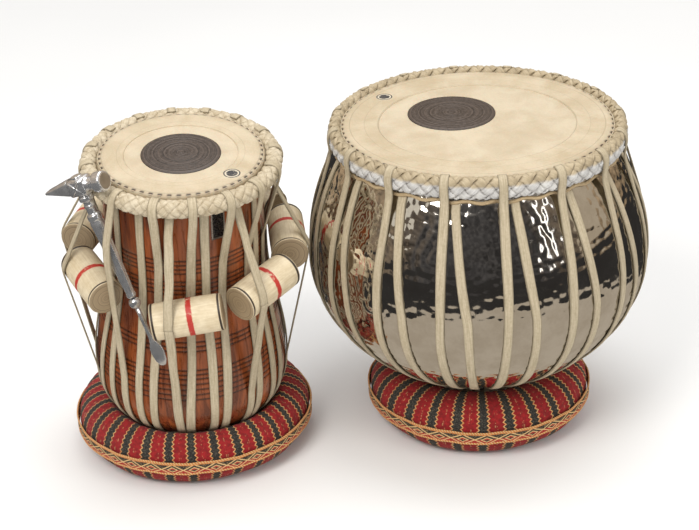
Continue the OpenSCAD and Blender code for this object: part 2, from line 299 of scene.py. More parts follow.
class Look:
    """A procedural material."""

    def __init__(self, name, **values):
        self.material = bpy.data.materials.new(name)
        self.material.use_nodes = True
        self.tree = self.material.node_tree
        self.shader = self.tree.nodes["Principled BSDF"]
        for socket, value in values.items():
            self.put(socket.replace("_", " "), value)

    def put(self, socket, value):
        self.join(self.shader.inputs[socket], value)

    def join(self, socket, value):
        if isinstance(value, bpy.types.NodeSocket):
            self.tree.links.new(value, socket)
        elif socket.type == "RGBA" and len(value) == 3:
            socket.default_value = (*value, 1)
        else:
            socket.default_value = value

    def node(self, kind, inputs=None, out=0, **settings):
        node = self.tree.nodes.new("ShaderNode" + kind)
        for key, value in settings.items():
            setattr(node, key, value)
        for key, value in (inputs or {}).items():
            self.join(node.inputs[key], value)
        return node.outputs[out]

    def math(self, operation, a, b=0.0, c=0.0):
        return self.node("Math", {0: a, 1: b, 2: c}, operation=operation)

    def add(self, a, b):
        return self.math("ADD", a, b)

    def sub(self, a, b):
        return self.math("SUBTRACT", a, b)

    def mul(self, a, b):
        return self.math("MULTIPLY", a, b)

    def absolute(self, a):
        return self.math("ABSOLUTE", a)

    def mix(self, share, a, b, blend="MIX"):
        return self.node("Mix", {0: share, 6: a, 7: b}, out=2, data_type="RGBA", blend_type=blend)

    def tone(self, value, low, high, dark, light):
        """dark where value is low, light where it is high."""
        return self.mix(self.span(value, low, high), dark, light)

    def span(self, value, low, high, to_low=0.0, to_high=1.0):
        """value from low to high, mapped smoothly onto to_low to to_high."""
        return self.node("MapRange", {0: value, 1: low, 2: high, 3: to_low, 4: to_high},
                         interpolation_type="SMOOTHSTEP")

    def band(self, value, centre, half, soft):
        """1 where value is within half of centre, 0 outside, with soft edges."""
        away = self.absolute(self.sub(value, centre))
        return self.span(away, half + soft, half - soft)

    def where(self):
        return self.node("TexCoord", out="Object")

    def uv(self):
        split = self.tree.nodes.new("ShaderNodeSeparateXYZ")
        self.join(split.inputs[0], self.node("TexCoord", out="UV"))
        return split.outputs[0], split.outputs[1]

    def shade(self):
        return self.node("Attribute", out="Fac", attribute_name="shade")

    def vector(self, x, y, z=0.0):
        return self.node("CombineXYZ", {0: x, 1: y, 2: z})

    def stretched(self, vector, scale):
        return self.node("VectorMath", {0: vector, 1: scale}, operation="MULTIPLY")

    def noise(self, vector, scale=1.0, detail=3.0, rough=0.5, twist=0.0):
        return self.node("TexNoise", {"Vector": vector, "Scale": scale, "Detail": detail,
                                      "Roughness": rough, "Distortion": twist})

    def bump(self, height, distance):
        self.put("Normal", self.node("Bump", {"Height": height, "Distance": distance * MM,
                                              "Strength": 1.0}))
        return self


def wood_look():
    look = Look("lacquered_wood", Roughness=0.3, Coat_Weight=0.6, Coat_Roughness=0.12)
    grain = look.noise(look.stretched(look.where(), (260, 260, 11)), detail=6, rough=0.65,
                       twist=0.6)
    figure = look.noise(look.stretched(look.where(), (32, 32, 9)), detail=3, twist=1.0)
    share = look.add(look.mul(grain, 0.65), look.mul(figure, 0.5))
    base = look.tone(share, 0.38, 0.8, (0.085, 0.020, 0.008), (0.40, 0.095, 0.018))
    # The shade value paints the turned grooves near black: painted shade in the recesses.
    look.put("Base Color", look.mix(look.shade(), base, (0.028, 0.008, 0.004)))
    look.put("Roughness", look.span(grain, 0.3, 0.8, 0.24, 0.42))
    return look.bump(grain, 0.12)


def plate_look():
    look = Look("plate", Metallic=0.9)
    along, across = look.uv()
    middle_of = look.absolute(look.sub(along, 13.0))
    edge = look.math("MAXIMUM", look.span(middle_of, 11.2, 11.8),
                     look.span(look.absolute(across), 4.6, 5.1))
    speck = look.noise(look.where(), 900, 2)
    inside = look.tone(speck, 0.4, 0.65, (0.03, 0.03, 0.035), (0.16, 0.15, 0.14))
    look.put("Base Color", look.mix(edge, inside, (0.55, 0.53, 0.50)))
    look.put("Roughness", look.span(speck, 0.3, 0.7, 0.25, 0.5))
    return look.bump(look.add(edge, look.mul(speck, 0.3)), 0.3)


def bowl_look():
    look = Look("hammered_bowl", Metallic=1.0)
    haze = look.noise(look.where(), 45, 4, 0.6)
    fine = look.noise(look.stretched(look.where(), (500, 500, 160)), 1.0, 3)
    look.put("Base Color", look.tone(haze, 0.3, 0.7, (0.66, 0.62, 0.56),
                                     (0.78, 0.75, 0.70)))
    look.put("Roughness", look.span(haze, 0.35, 0.75, 0.05, 0.13))
    return look.bump(fine, 0.02)


def skin_look(name, light, dark, rings=()):
    """Scraped skin. UV v is the distance from the skin's own edge or middle, in mm."""
    look = Look(name, Roughness=0.55, Subsurface_Weight=0.06, Subsurface_Scale=0.002)
    cloud = look.noise(look.where(), 38, 5, 0.6, 0.4)
    pores = look.noise(look.where(), 700, 3, 0.6)
    share = look.add(look.mul(cloud, 0.75), look.mul(pores, 0.35))
    colour = look.tone(share, 0.38, 0.72, dark, light)
    v = look.uv()[1]
    height = look.mul(pores, 0.25)
    for at, half, strength in rings:
        line = look.mul(look.band(v, at, half, half * 0.7), strength)
        colour = look.mix(line, colour, [0.45 * c for c in dark])
        height = look.sub(height, line)
    # The shade value darkens the skin: painted shade in the lacing holes and towards the braid.
    look.put("Base Color", look.mix(look.shade(), colour, (0.055, 0.035, 0.02)))
    look.put("Roughness", look.span(cloud, 0.3, 0.7, 0.45, 0.65))
    return look.bump(height, 0.25)


def paste_look():
    look = Look("paste", Roughness=0.5)
    v = look.uv()[1]
    rings = look.noise(look.vector(v, 0.0), 0.55, 4, 0.75)
    grains = look.noise(look.where(), 420, 3)
    share = look.add(look.mul(rings, 0.85), look.mul(grains, 0.25))
    look.put("Base Color", look.tone(share, 0.42, 0.72, (0.020, 0.015, 0.013),
                                     (0.115, 0.085, 0.068)))
    look.put("Roughness", look.span(grains, 0.3, 0.7, 0.38, 0.6))
    return look.bump(share, 0.3)


def rawhide_look(name, light, dark, edge=0.55):
    """Strap skin with streaks along its length and darker edges that are painted shade. UV is along,
    across.
    """
    look = Look(name, Roughness=0.62)
    along, across = look.uv()
    streak = look.noise(look.vector(look.mul(along, 0.05),
                                    look.mul(across, 1.1)), 1.0, 5, 0.65, 0.3)
    fleck = look.noise(look.where(), 520, 3, 0.6)
    share = look.add(look.mul(streak, 0.8), look.mul(fleck, 0.3))
    colour = look.tone(share, 0.36, 0.72, dark, light)
    # Darker towards the strap's edges: painted shade.
    rim = look.span(look.absolute(across), STRAP_W * 0.36, STRAP_W * 0.5, 0.0, edge)
    colour = look.mix(rim, colour, [0.4 * c for c in dark])
    look.put("Base Color", look.mix(look.shade(), colour, [0.3 * c for c in dark]))
    look.put("Roughness", look.span(streak, 0.3, 0.7, 0.5, 0.75))
    return look.bump(share, 0.35)


def braid_look(name, crease_shade, light, dark, low=None):
    """Plaited strands, painted darker in their creases from the shade value: painted shade. low
    tints the braid's lower tier.
    """
    look = Look(name, Roughness=0.6)
    along, across = look.uv()
    streak = look.noise(look.vector(look.mul(along, 0.14),
                                    look.mul(across, 0.9)), 1.0, 4, 0.6)
    patch = look.noise(look.where(), 75, 3, 0.6)
    share = look.add(look.mul(streak, 0.55), look.mul(patch, 0.5))
    colour = look.tone(share, 0.36, 0.70, dark, light)
    if low:
        height = look.tree.nodes.new("ShaderNodeSeparateXYZ")
        look.join(height.inputs[0], look.where())
        wander = look.add(height.outputs[2], look.mul(patch, 0.004))
        tier = look.span(wander, low[0], low[1], 1.0, 0.0)
        colour = look.mix(tier, colour, look.tone(share, 0.36, 0.7, low[2], low[3]))
    # The shade value mixes in the dark crease colour: painted shade.
    colour = look.mix(look.mul(look.shade(), 0.85), colour, crease_shade)
    look.put("Base Color", colour)
    return look.bump(streak, 0.3)


def block_look():
    """Turned block. UV v runs from one end face's middle, along the side, to the other's."""
    look = Look("block_wood", Roughness=0.48)
    turn, v = look.uv()
    grain = look.noise(look.vector(look.mul(turn, 70.0),
                                   look.mul(v, 0.06)), 1.0, 5, 0.6, 0.5)
    spots = look.noise(look.where(), 160, 4, 0.6)
    share = look.add(look.mul(grain, 0.6), look.mul(spots, 0.45))
    colour = look.tone(share, 0.36, 0.74, (0.58, 0.47, 0.30), (0.74, 0.64, 0.46))
    wobble = look.mul(look.noise(look.where(), 260, 3), 1.6)
    s = look.add(look.sub(v, BLOCK_MIDDLE), look.sub(wobble, 0.8))
    red = look.mul(look.band(s, 3.2, 2.3, 0.5), look.span(spots, 0.30, 0.46))
    colour = look.mix(red, colour, (0.46, 0.030, 0.020))
    from_middle = look.absolute(look.sub(v, BLOCK_MIDDLE))
    line = look.band(from_middle, 27.9, 0.95, 0.4)
    colour = look.mix(line, colour, (0.035, 0.022, 0.015))
    face = look.span(from_middle, BLOCK_HALF - 0.4, BLOCK_HALF + 0.4)
    rings = look.noise(look.vector(from_middle, 0.0), 0.9, 3, 0.6)
    end = look.tone(rings, 0.35, 0.7, (0.22, 0.155, 0.09), (0.42, 0.32, 0.19))
    colour = look.mix(face, colour, end)
    look.put("Base Color", colour)
    return look.bump(look.sub(share, look.mul(line, 0.8)), 0.25)


def steel_look(name, colour, rough):
    look = Look(name, Metallic=0.85)
    smudge = look.noise(look.where(), 130, 4, 0.6)
    brushed = look.noise(look.stretched(look.where(), (900, 900, 300)), 1.0, 2)
    look.put("Base Color", look.tone(smudge, 0.3, 0.7, [0.8 * c for c in colour], colour))
    look.put("Roughness", look.span(smudge, 0.3, 0.7, rough, rough + 0.14))
    return look.bump(brushed, 0.03)


RED, BLACK = (0.34, 0.008, 0.010), (0.018, 0.016, 0.014)
CREAM, ORANGE = (0.66, 0.44, 0.20), (0.60, 0.20, 0.045)


def cloth_look(name, stripes):
    """Striped handloom cloth. UV u is the turn round the ring, v is mm round the section."""
    look = Look(name, Roughness=0.9, Sheen_Weight=0.04, Sheen_Roughness=0.5)
    u, v = look.uv()
    zigzag = look.math("PINGPONG", v, 2.1)
    drift = look.noise(look.where(), 24, 2)
    turn = look.add(look.mul(u, float(stripes)),
                    look.mul(drift, 0.22))
    place = look.absolute(look.sub(look.math("FRACT", turn), 0.5))
    edge = look.add(place, look.mul(look.sub(zigzag, 1.05), 0.045))
    speck = look.noise(look.where(), 950, 2, 0.6)
    nap = look.noise(look.where(), 300, 3, 0.6)
    black = look.span(edge, 0.165, 0.180, 1.0, 0.0)
    red = look.tone(nap, 0.3, 0.7, [0.55 * c for c in RED], RED)
    colour = look.mix(black, red, look.tone(speck, 0.45, 0.7, BLACK, (0.09, 0.08, 0.06)))
    line = look.band(edge, 0.195, 0.030, 0.008)
    thread = look.tone(speck, 0.4, 0.62, ORANGE, CREAM)
    colour = look.mix(line, colour, thread)
    faint = look.mul(look.band(place, 0.46, 0.02, 0.012),
                     look.span(look.noise(look.where(), 420, 2), 0.56, 0.66))
    colour = look.mix(look.mul(faint, 0.5), colour, CREAM)
    # The shade value darkens the cloth near the drum: painted shade.
    look.put("Base Color", look.mix(look.mul(look.shade(), 0.8), colour,
                                    (0.02, 0.008, 0.006)))
    weave_u = look.math("SINE", look.mul(u, stripes * TAU * 17))
    weave_v = look.math("SINE", look.mul(v, TAU / 1.2))
    weave = look.mul(weave_u, weave_v)
    height = look.add(look.mul(weave, 0.25), look.mul(line, 0.9))
    return look.bump(look.add(height, nap), 0.45)


def band_look(name, repeats):
    """Woven tape: a row of dark diamonds over a row of red ones, between orange edges."""
    look = Look(name, Roughness=0.85)
    u, v = look.uv()
    x = look.absolute(look.math("SUBTRACT",
                                look.math("FRACT", look.mul(u, float(repeats))),
                                0.5))
    away = look.add(look.mul(x, 2.0),
                    look.absolute(look.mul(v, 0.21)))
    speck = look.noise(look.where(), 800, 2, 0.6)
    upper = look.span(v, -0.4, 0.4)
    fill = look.mix(upper, RED, BLACK)
    colour = look.tone(away, 0.34, 0.40, look.mix(upper, BLACK, RED), CREAM)
    colour = look.tone(away, 0.50, 0.56, colour, fill)
    colour = look.tone(away, 0.86, 0.92, colour, CREAM)
    colour = look.tone(away, 1.06, 1.12, colour, fill)
    colour = look.tone(look.absolute(v), 4.0, 4.3, colour, ORANGE)
    colour = look.mix(look.mul(look.span(speck, 0.45, 0.7), 0.35), colour, CREAM)
    look.put("Base Color", colour)
    return look.bump(speck, 0.4)


def cord_look():
    look = Look("edge_cord", Roughness=0.8)
    along, across = look.uv()
    twist = look.math("SINE", look.add(look.mul(along, 2.6),
                                       look.mul(across, 2.2)))
    colour = look.tone(twist, -0.6, 0.6, ORANGE, CREAM)
    look.put("Base Color", colour)
    return look.bump(twist, 0.3)


BLOCK_HALF = 29.5
BLOCK_R = 15.5
BLOCK_MIDDLE = BLOCK_R + BLOCK_HALF

wood = wood_look()
bowl = bowl_look()
steel = steel_look("steel", (0.84, 0.85, 0.87), 0.13)
worn_face = steel_look("worn_steel", (0.40, 0.34, 0.27), 0.42)
strap_hide = rawhide_look("rawhide", (0.53, 0.45, 0.315), (0.35, 0.285, 0.18))
gudri_hide = rawhide_look("dark_rawhide", (0.20, 0.15, 0.10), (0.09, 0.065, 0.045))
hoop_hide = rawhide_look("tan_rawhide", (0.50, 0.38, 0.22), (0.33, 0.23, 0.12), edge=0.2)
paste = paste_look()
under_skin = skin_look("under_skin", (0.66, 0.53, 0.34), (0.48, 0.36, 0.21))

# ---- shells -------------------------------------------------------------------------------

GROOVES = (208, 204, 200, 196, 188, 184, 180, 176, 133, 129, 125, 108, 104, 100, 95, 90, 85, 80)


def groove_depth(z):
    """Depth of the turned lines at a height, from 0 to 1."""
    return sum(np.exp(-((z - g) / 0.8) ** 2) for g in GROOVES)


shell_r = dayan_outline[0, 0]
wall_in = [(shell_r - 12, SHELL_RIM_Z), (shell_r - 14, 120), (50, 62), (0.01, 62)]
outer = resample(dayan_outline, 0.8)
base = np.array([(outer[-1, 0], outer[-1, 1]), (0.01, outer[-1, 1])])
profile = np.concatenate([resample(np.array(wall_in[::-1], float), 12), outer, resample(base, 6)])
# Groove depth is also the shade value, which paints the grooves dark: painted shade.
groove_shade = groove_depth(profile[:, 1]) * (profile[:, 0] > 60)
shape = Shape()
lathe(shape, dayan, profile[::-1], 200, shade=np.clip(groove_shade[::-1], 0, 1),
      bump=lambda a, r, z, s: 0.45 * groove_depth(z) * (r > 60))
shape.make("dayan_wood", wood, "dayan_drum", ["dayan_shell"], "wood")

plate_r = dayan.extent("dayan_plate")
plate_at = dayan.local(middle("dayan_plate")[None])[0]
plate_phi = math.degrees(math.atan2(plate_at[1], plate_at[0]))
z = np.linspace(plate_r[3], plate_r[2], 12)
path = cylindrical(plate_phi + 0 * z, plate_r[1] - 0.35 + 0 * z, z)
e = np.radians(plate_phi)
side = np.repeat([[math.sin(e), -math.cos(e), 0.0]], len(z), 0)
face = np.repeat([[math.cos(e), math.sin(e), 0.0]], len(z), 0)
shape = Shape()
sweep(shape, path, side, face, 6.0, 0.45, dayan.place, corners=(0.12, 0.3), count=24)
shape.make("dayan_name_plate", plate_look(), "dayan_drum", ["dayan_plate"], "plate")


class HammerMarks:
    """Overlapping shallow round marks in rows round a bowl."""

    def __init__(self, profile, pitch, depth, seed):
        self.pitch, self.depth = pitch, depth
        along = travelled(profile)
        self.rows = int(along[-1] / pitch) + 3
        radii = np.interp((np.arange(self.rows) - 0.5) * pitch, along, profile[:, 0])
        self.counts = np.maximum(6, np.round(TAU * radii / pitch)).astype(int)
        spread = np.random.default_rng(seed).uniform
        self.jitter = spread(-0.38, 0.38, (self.rows, self.counts.max(), 2))

    def __call__(self, a, r, z, s):
        a, r, s = np.broadcast_arrays(a, np.maximum(r, 1), s)
        nearest = np.full(a.shape, np.inf)
        for row_step in (-1, 0, 1):
            row = np.clip(np.floor(s / self.pitch).astype(int) + 1 + row_step, 0, self.rows - 1)
            count = self.counts[row]
            at = np.floor(a / TAU * count).astype(int)
            for step in (-1, 0, 1):
                move = self.jitter[row, (at + step) % count]
                da = (a - (at + step + 0.5 + move[..., 0]) * TAU / count) * r
                ds = s - (row - 0.5 + move[..., 1]) * self.pitch
                nearest = np.minimum(nearest, da * da + ds * ds)
        return self.depth * (1 - np.clip(nearest / (0.62 * self.pitch) ** 2, 0, 1.3))


outer = resample(bayan_outline, 1.5)
foot = np.array([outer[-1], (0.01, outer[-1, 1])])
profile = np.concatenate([outer, resample(foot, 4)[1:]])
shape = Shape()
lathe(shape, bayan, profile, 600, bump=HammerMarks(profile, 8.0, 0.36, 5))
inner = profile - np.array([1.8, 0])
inner[:, 0] = np.maximum(inner[:, 0], 0.01)
inner[:, 1] = np.maximum(inner[:, 1], profile[-1, 1] + 1.8)
lathe(shape, bayan, resample(inner[::-1], 6), 96)
bead = [(profile[0, 0] - 1.4 + 2.9 * math.cos(t), 270 + 2.9 * math.sin(t))
        for t in np.linspace(-2.4, 4.2, 24)]
lathe(shape, bayan, np.array(bead)[::-1], 160)
shape.make("bayan_bowl", bowl, "bayan_drum", ["bayan_shell"], "bowl_metal")

# ---- heads --------------------------------------------------------------------------------


def kinar_profile(r_in, r_out, z_top, z_low, roll):
    """The overlaid skin ring: a soft inner edge, a flat, then rolled down over the rim."""
    start = [(r_in, z_top - 1.0), (r_in + 0.15, z_top - 0.35), (r_in + 0.8, z_top)]
    flat = [(r_out - roll - 6, z_top), (r_out - roll, z_top - 0.25)]
    bend = [(r_out - roll + roll * math.sin(t), z_top - 0.25 - roll * (1 - math.cos(t)))
            for t in np.linspace(0.25, math.pi / 2, 8)]
    return np.array(start + flat + bend + [(r_out, z_low)])


def head(name, drum, look_top, look_ring, hole_count, roll):
    """A head's overlaid ring, with the row of lacing holes near its edge."""
    r_in, r_out, z_low, z_top = drum.extent(name + "_kinar")
    profile = resample(kinar_profile(r_in, r_out, z_top, z_low, roll), 0.7)
    near = np.exp(-((profile[:, 0] - (r_out - 2.0)) / 1.3) ** 2) * (profile[:, 1] > z_top - 4.5)
    columns = hole_count * 12
    turn = np.arange(columns) / columns
    slot = np.clip(1.9 - 6.0 * np.abs((turn * hole_count) % 1 - 0.5), 0, 1)
    # The lacing holes are painted dark through the shade value: painted shade in the holes.
    holes = np.clip(1.5 * near[:, None] * slot[None], 0, 1)
    shape = Shape()
    # Darker towards the outer edge, under the braid: painted shade.
    rim_shade = np.clip((profile[:, 0] - (r_out - 7)) / 9, 0, 1)[:, None] * 0.28
    lathe(shape, drum, profile[::-1], columns, shade=np.maximum(holes, rim_shade)[::-1],
          bump=lambda a, r, z, s: 0.3 * holes[::-1])
    shape.make(name + "_ring_skin", look_ring, name + "_drum", [name + "_kinar"], "skin_top")
    finish_node(name + "_maidan", look_top)
    finish_node(name + "_bharti", under_skin)


def paste_patch(name, drum, dome):
    """The tuning paste: stepped rings that rise towards the middle."""
    p = drum.local(vertices(name + "_syahi"))
    centre = (p[:, :2].min(0) + p[:, :2].max(0)) / 2
    radius = np.hypot(*(p[:, :2] - centre).T).max()
    z_low, z_top = p[:, 2].min(), p[:, 2].max()
    r = np.linspace(0.01, radius - 0.2, 90)
    steps = 0.09 * np.sin(r * 1.9) + 0.05 * np.sin(r * 4.1 + 1)
    rise = np.clip((radius - r) / 3.0, 0, 1) ** 0.6
    thick = z_top - z_low - 0.45 - dome * (r / radius) ** 2 + steps
    z = z_low + 0.25 + thick * rise
    rings = np.stack([np.r_[r, radius], np.r_[z, z_low - 0.2]], 1)
    shape = Shape()
    lathe(shape, drum, rings[::-1], 128, centre=centre)
    shape.make(name + "_paste", paste, name + "_drum", [name + "_syahi"], "paste")


top_light, top_dark = (0.57, 0.485, 0.35), (0.49, 0.40, 0.275)
ring_light, ring_dark = (0.56, 0.47, 0.335), (0.47, 0.38, 0.25)
dayan_top = skin_look("dayan_skin", top_light, top_dark)
bayan_top = skin_look("bayan_skin", top_light, top_dark)
ring_skin = skin_look("ring_skin", ring_light, ring_dark,
                      rings=((16.5, 0.35, 0.35), (40.5, 0.4, 0.3), (29.0, 0.3, 0.2)))
head("dayan", dayan, dayan_top, ring_skin, 55, 3.2)
head("bayan", bayan, bayan_top, ring_skin, 76, 3.6)
paste_patch("dayan", dayan, 0.35)
paste_patch("bayan", bayan, 0.3)


def stamp_look():
    """A plain round ink stamp: rings only."""
    look = Look("ring_stamp", Roughness=0.5)
    v = look.uv()[1]
    speck = look.noise(look.where(), 600, 3)
    ink = look.math("MAXIMUM", look.band(v, 1.0, 0.55, 0.12), look.span(v, 2.6, 2.9))
    ink = look.mul(ink, look.span(speck, 0.25, 0.45))
    look.put("Base Color", look.mix(ink, (0.62, 0.55, 0.42), (0.035, 0.035, 0.04)))
    return look.bump(speck, 0.1)


stamp = stamp_look()


def ring_stamp(name, drum, phi, r):
    z_top = drum.extent(name + "_kinar")[3]
    centre = cylindrical(phi, r, 0.0)[:2]
    disc = np.array([(7.2, z_top - 0.3), (7.0, z_top + 0.12), (0.01, z_top + 0.14)])
    shape = Shape()
    lathe(shape, drum, resample(disc, 0.5), 48, centre=centre)
    shape.make(name + "_stamp", stamp, name + "_drum", slot="skin_top")


ring_stamp("dayan", dayan, 321, 55)
ring_stamp("bayan", bayan, 141, 98)

# ---- braided collars ----------------------------------------------------------------------


def braid(shape, drum, r, z, half_r, half_z, strands, turns, half_w, half_t):
    """A round plait: strands wind both ways round an elliptical ring, over and under in turn."""
    count = turns * 26
    a = np.arange(count + 1) / count * TAU
    lift = 1.5
    for way in (1, -1):
        for k in range(strands):
            psi = way * turns * a + TAU * k / strands
            over = way * lift * np.cos(strands * turns * a)
            radial = r + (half_r + over) * np.cos(psi)
            height = z + (half_z + over) * np.sin(psi)
            path = cylindrical(np.degrees(a), radial, height)
            out = cylindrical(np.degrees(a), half_z * np.cos(psi), half_r * np.sin(psi))
            tangent = tangents(path)
            out = square_to(tangent, out)
            side = np.cross(tangent, out)
            # Darker where a strand dips under the next: painted shade.
            dip = np.clip(0.5 - 0.5 * over / lift, 0, 1) ** 1.6
            sweep(shape, path, side, out, half_w, half_t, drum.place, corners=(0.8, 0.8),
                  shift=977.0 * k + 409 * way, shade=0.95 * dip, count=10)


def shade_core(shape, drum, r, z, half_r, half_z):
    """A ring painted fully in the braid's shade colour, seen between a plait's strands: painted
    shade.
    """
    t = np.linspace(0, TAU, 25)
    ring = np.stack([r + half_r * np.cos(t), z + half_z * np.sin(t)], 1)
    lathe(shape, drum, ring[::-1], 120, shade=1.0)


cream_braid = braid_look("cream_braid", (0.10, 0.065, 0.035), (0.62, 0.54, 0.40),
                         (0.41, 0.33, 0.21))
grey = ((0.70, 0.69, 0.66), (0.43, 0.42, 0.41))
tan_braid = braid_look("two_tone_braid", (0.09, 0.065, 0.04), (0.50, 0.41, 0.27),
                       (0.33, 0.26, 0.16), low=(0.2725, 0.2755, grey[1], grey[0]))

BRAIDS = {
    "dayan": dict(r=75.6, z=263.0, half_r=4.9, half_z=5.0),
    "bayan": dict(r=120.2, z=269.6, half_r=3.5, half_z=7.0),
}
for name, drum, look, strands, turns in (("dayan", dayan, cream_braid, 4, 13),
                                         ("bayan", bayan, tan_braid, 4, 16)):
    shape = Shape()
    braid(shape, drum, **BRAIDS[name], strands=strands, turns=turns, half_w=3.7, half_t=1.4)
    b = BRAIDS[name]
    # The dark ring between the strands is painted shade.
    shade_core(shape, drum, b["r"], b["z"], b["half_r"] - 0.9, b["half_z"] - 0.9)
    shape.make(name + "_braid", look, name + "_drum", [name + "_gajra"], "rawhide_braid")

hoop = bayan.extent("bayan_hoop")
a = np.linspace(0, TAU, 721)
wave = np.sin(a * 32)
path = cylindrical(np.degrees(a), (hoop[0] + hoop[1]) / 2 + 0.3 * np.cos(a * 32),
                   (hoop[2] + hoop[3]) / 2 - 0.3 + 1.0 * wave)
out = cylindrical(np.degrees(a), 1.0, 0.0 * a)
shape = Shape()
sweep(shape, path, np.cross(tangents(path), out), out, 1.5, 1.3, bayan.place,
      corners=(0.9, 0.9), count=10)
shape.make("bayan_wavy_hoop", hoop_hide, "bayan_drum", ["bayan_hoop"], "skin_under")

# ---- bottom rings -------------------------------------------------------------------------

for name, drum in (("dayan", dayan), ("bayan", bayan)):
    g = drum.extent(name + "_gudri")
    t = np.linspace(0, TAU, 21)
    ring = np.stack([(g[0] + g[1]) / 2 + 3.8 * np.cos(t), (g[2] + g[3]) / 2 + 3.8 * np.sin(t)], 1)
    shape = Shape()
    lathe(shape, drum, ring[::-1], 180, bump=lambda a, r, z, s: -0.25 * np.cos(a * 60 + s * 0.5))
    shape.make(name + "_bottom_ring", gudri_hide, name + "_drum", [name + "_gudri"], "gudri")

# ---- lacing -------------------------------------------------------------------------------

rng = np.random.default_rng(11)
LIE = STRAP_T / 2 + 0.3        # a strap's middle stands this far off what it lies on


def shifted(profile, by):
    """A (radius, height) path that runs downwards, moved outwards by a distance."""
    t = tangents(profile)
    return profile + by * np.stack([-t[:, 1], t[:, 0]], 1)


def lower_part(name, profile, top_z):
    """Down the shell from a height, then round the bottom ring and under it."""
    ring = GUDRI[name]
    wrap = GUDRI_TUBE + LIE
    on_shell = shifted(profile, LIE)
    rows = on_shell[(on_shell[:, 1] <= top_z) & (on_shell[:, 0] > ring[0] + wrap + 2)]
    turn = np.radians(np.arange(20, -131, -15))
    under = np.stack([ring[0] + wrap * np.cos(turn), ring[1] + wrap * np.sin(turn)], 1)
    return np.concatenate([rows[::3], under])


def over_braid(name, phi_from=118):
    """Out of a hole at the head's edge and round the outside of the braid."""
    b = BRAIDS[name]
    t = np.radians(np.arange(phi_from, -21, -12))
    room = 2.0 + LIE
    return np.stack([b["r"] + (b["half_r"] + room) * np.cos(t),
                     b["z"] + (b["half_z"] + room) * np.sin(t)], 1)


def strap(shape, drum, profile, phi, lift=0.0, corner=5.0, width=1.0):
    """One strap run along a (radius, height) path; phi gives its angle at each height."""
    path2 = softened(profile, 2.0, corner)
    angle = phi(path2)
    path = cylindrical(angle, path2[:, 0], path2[:, 1])
    tangent = tangents(path)
    side = square_to(tangent, cylindrical(angle - 90, np.ones(len(angle)), 0.0 * angle))
    out = np.cross(side, tangent)
    along = np.linspace(0, 1, len(path))
    seed = rng.uniform(0, TAU, 3)
    path = path + out * lift
    sway = 0.35 * np.sin(along * 9 + seed[0]) + 0.2 * np.sin(along * 23 + seed[1])
    path = path + side * sway[:, None]
    narrow = np.clip(path2[:, 0] / 62, 0.62, 1.0)
    half = STRAP_W / 2 * width * narrow * (1 + 0.05 * np.sin(along * 14 + seed[2]))
    sweep(shape, path, side, out, half, STRAP_T / 2, drum.place, shift=rng.uniform(0, 4000))


def leaning(top, bottom):
    """The angle of a run, in degrees, going evenly from its top to its bottom."""
    return lambda p: np.interp(p[:, 1], (LOW_Z, TOP_Z), (bottom, top))


def run_angle(k):
    return FIRST_RUN + k * 360 / RUNS


TOP_Z, LOW_Z = 250, 50
dayan_free = np.array([(BRAIDS["dayan"]["r"] + 6.2, 254.0)])
dayan_down = lower_part("dayan", dayan_outline, 203)
dayan_over_path = np.concatenate([over_braid("dayan"), dayan_free, dayan_down])
dayan_under_path = np.concatenate([np.array([(dayan_outline[0, 0] + 1.3, 258.0)]),
                                   lower_part("dayan", dayan_outline, 250)])


def dayan_over_angle(k):
    a = run_angle(k) + rng.uniform(-0.8, 0.8)
    return leaning(a + 3.5, a - 4.5)


def dayan_under_angle(k):
    a = run_angle(k) + rng.uniform(-0.6, 0.6)
    return leaning(a + 11.5, a + 9.5)


over, under = Shape(), Shape()
for k in range(RUNS):
    if k != HAMMER_RUN:
        strap(over, dayan, dayan_over_path, dayan_over_angle(k))
    if k not in GATTA_RUNS:
        strap(under, dayan, dayan_under_path, dayan_under_angle(k), lift=-0.1)
over.make("dayan_lacing_over", strap_hide, "dayan_drum", ["dayan_straps_over"], "rawhide")
under.make("dayan_lacing_under", strap_hide, "dayan_drum", ["dayan_straps_under"], "rawhide")

bayan_free = np.array([(BRAIDS["bayan"]["r"] + 5.6, 262.0), (BRAIDS["bayan"]["r"] + 5.0, 256.0)])
bayan_over_path = np.concatenate([over_braid("bayan", 105), bayan_free,
                                  lower_part("bayan", bayan_outline, 207)])
bayan_under_path = np.concatenate([np.array([(radius_at(bayan_outline, 256) + 1.2, 256.0)]),
                                   lower_part("bayan", bayan_outline, 250)])


def bayan_under_angle(k):
    a = run_angle(k) + rng.uniform(-0.6, 0.6)
    return lambda p: a + np.interp(p[:, 1], (55, 160, 250), (11.25, 9.5, 5.0))


over, under = Shape(), Shape()
for k in range(RUNS):
    a = run_angle(k) + rng.uniform(-0.5, 0.5)
    strap(over, bayan, bayan_over_path, leaning(a, a), width=1.05)
    strap(under, bayan, bayan_under_path, bayan_under_angle(k), lift=-0.1, width=1.02)
over.make("bayan_lacing_over", strap_hide, "bayan_drum", ["bayan_straps_over"], "rawhide")
under.make("bayan_lacing_under", strap_hide, "bayan_drum", ["bayan_straps_under"], "rawhide")

# ---- tuning blocks and the runs over them -------------------------------------------------

block_wood = block_look()


def taut(points):
    """The outermost string through (radius, height) points that are given from high to low."""
    kept = []
    for p in points:
        while len(kept) > 1:
            a, b = kept[-2], kept[-1]
            if (b[0] - a[0]) * (p[1] - a[1]) - (b[1] - a[1]) * (p[0] - a[0]) < 0:
                break
            kept.pop()
        kept.append(p)
    return np.array(kept)


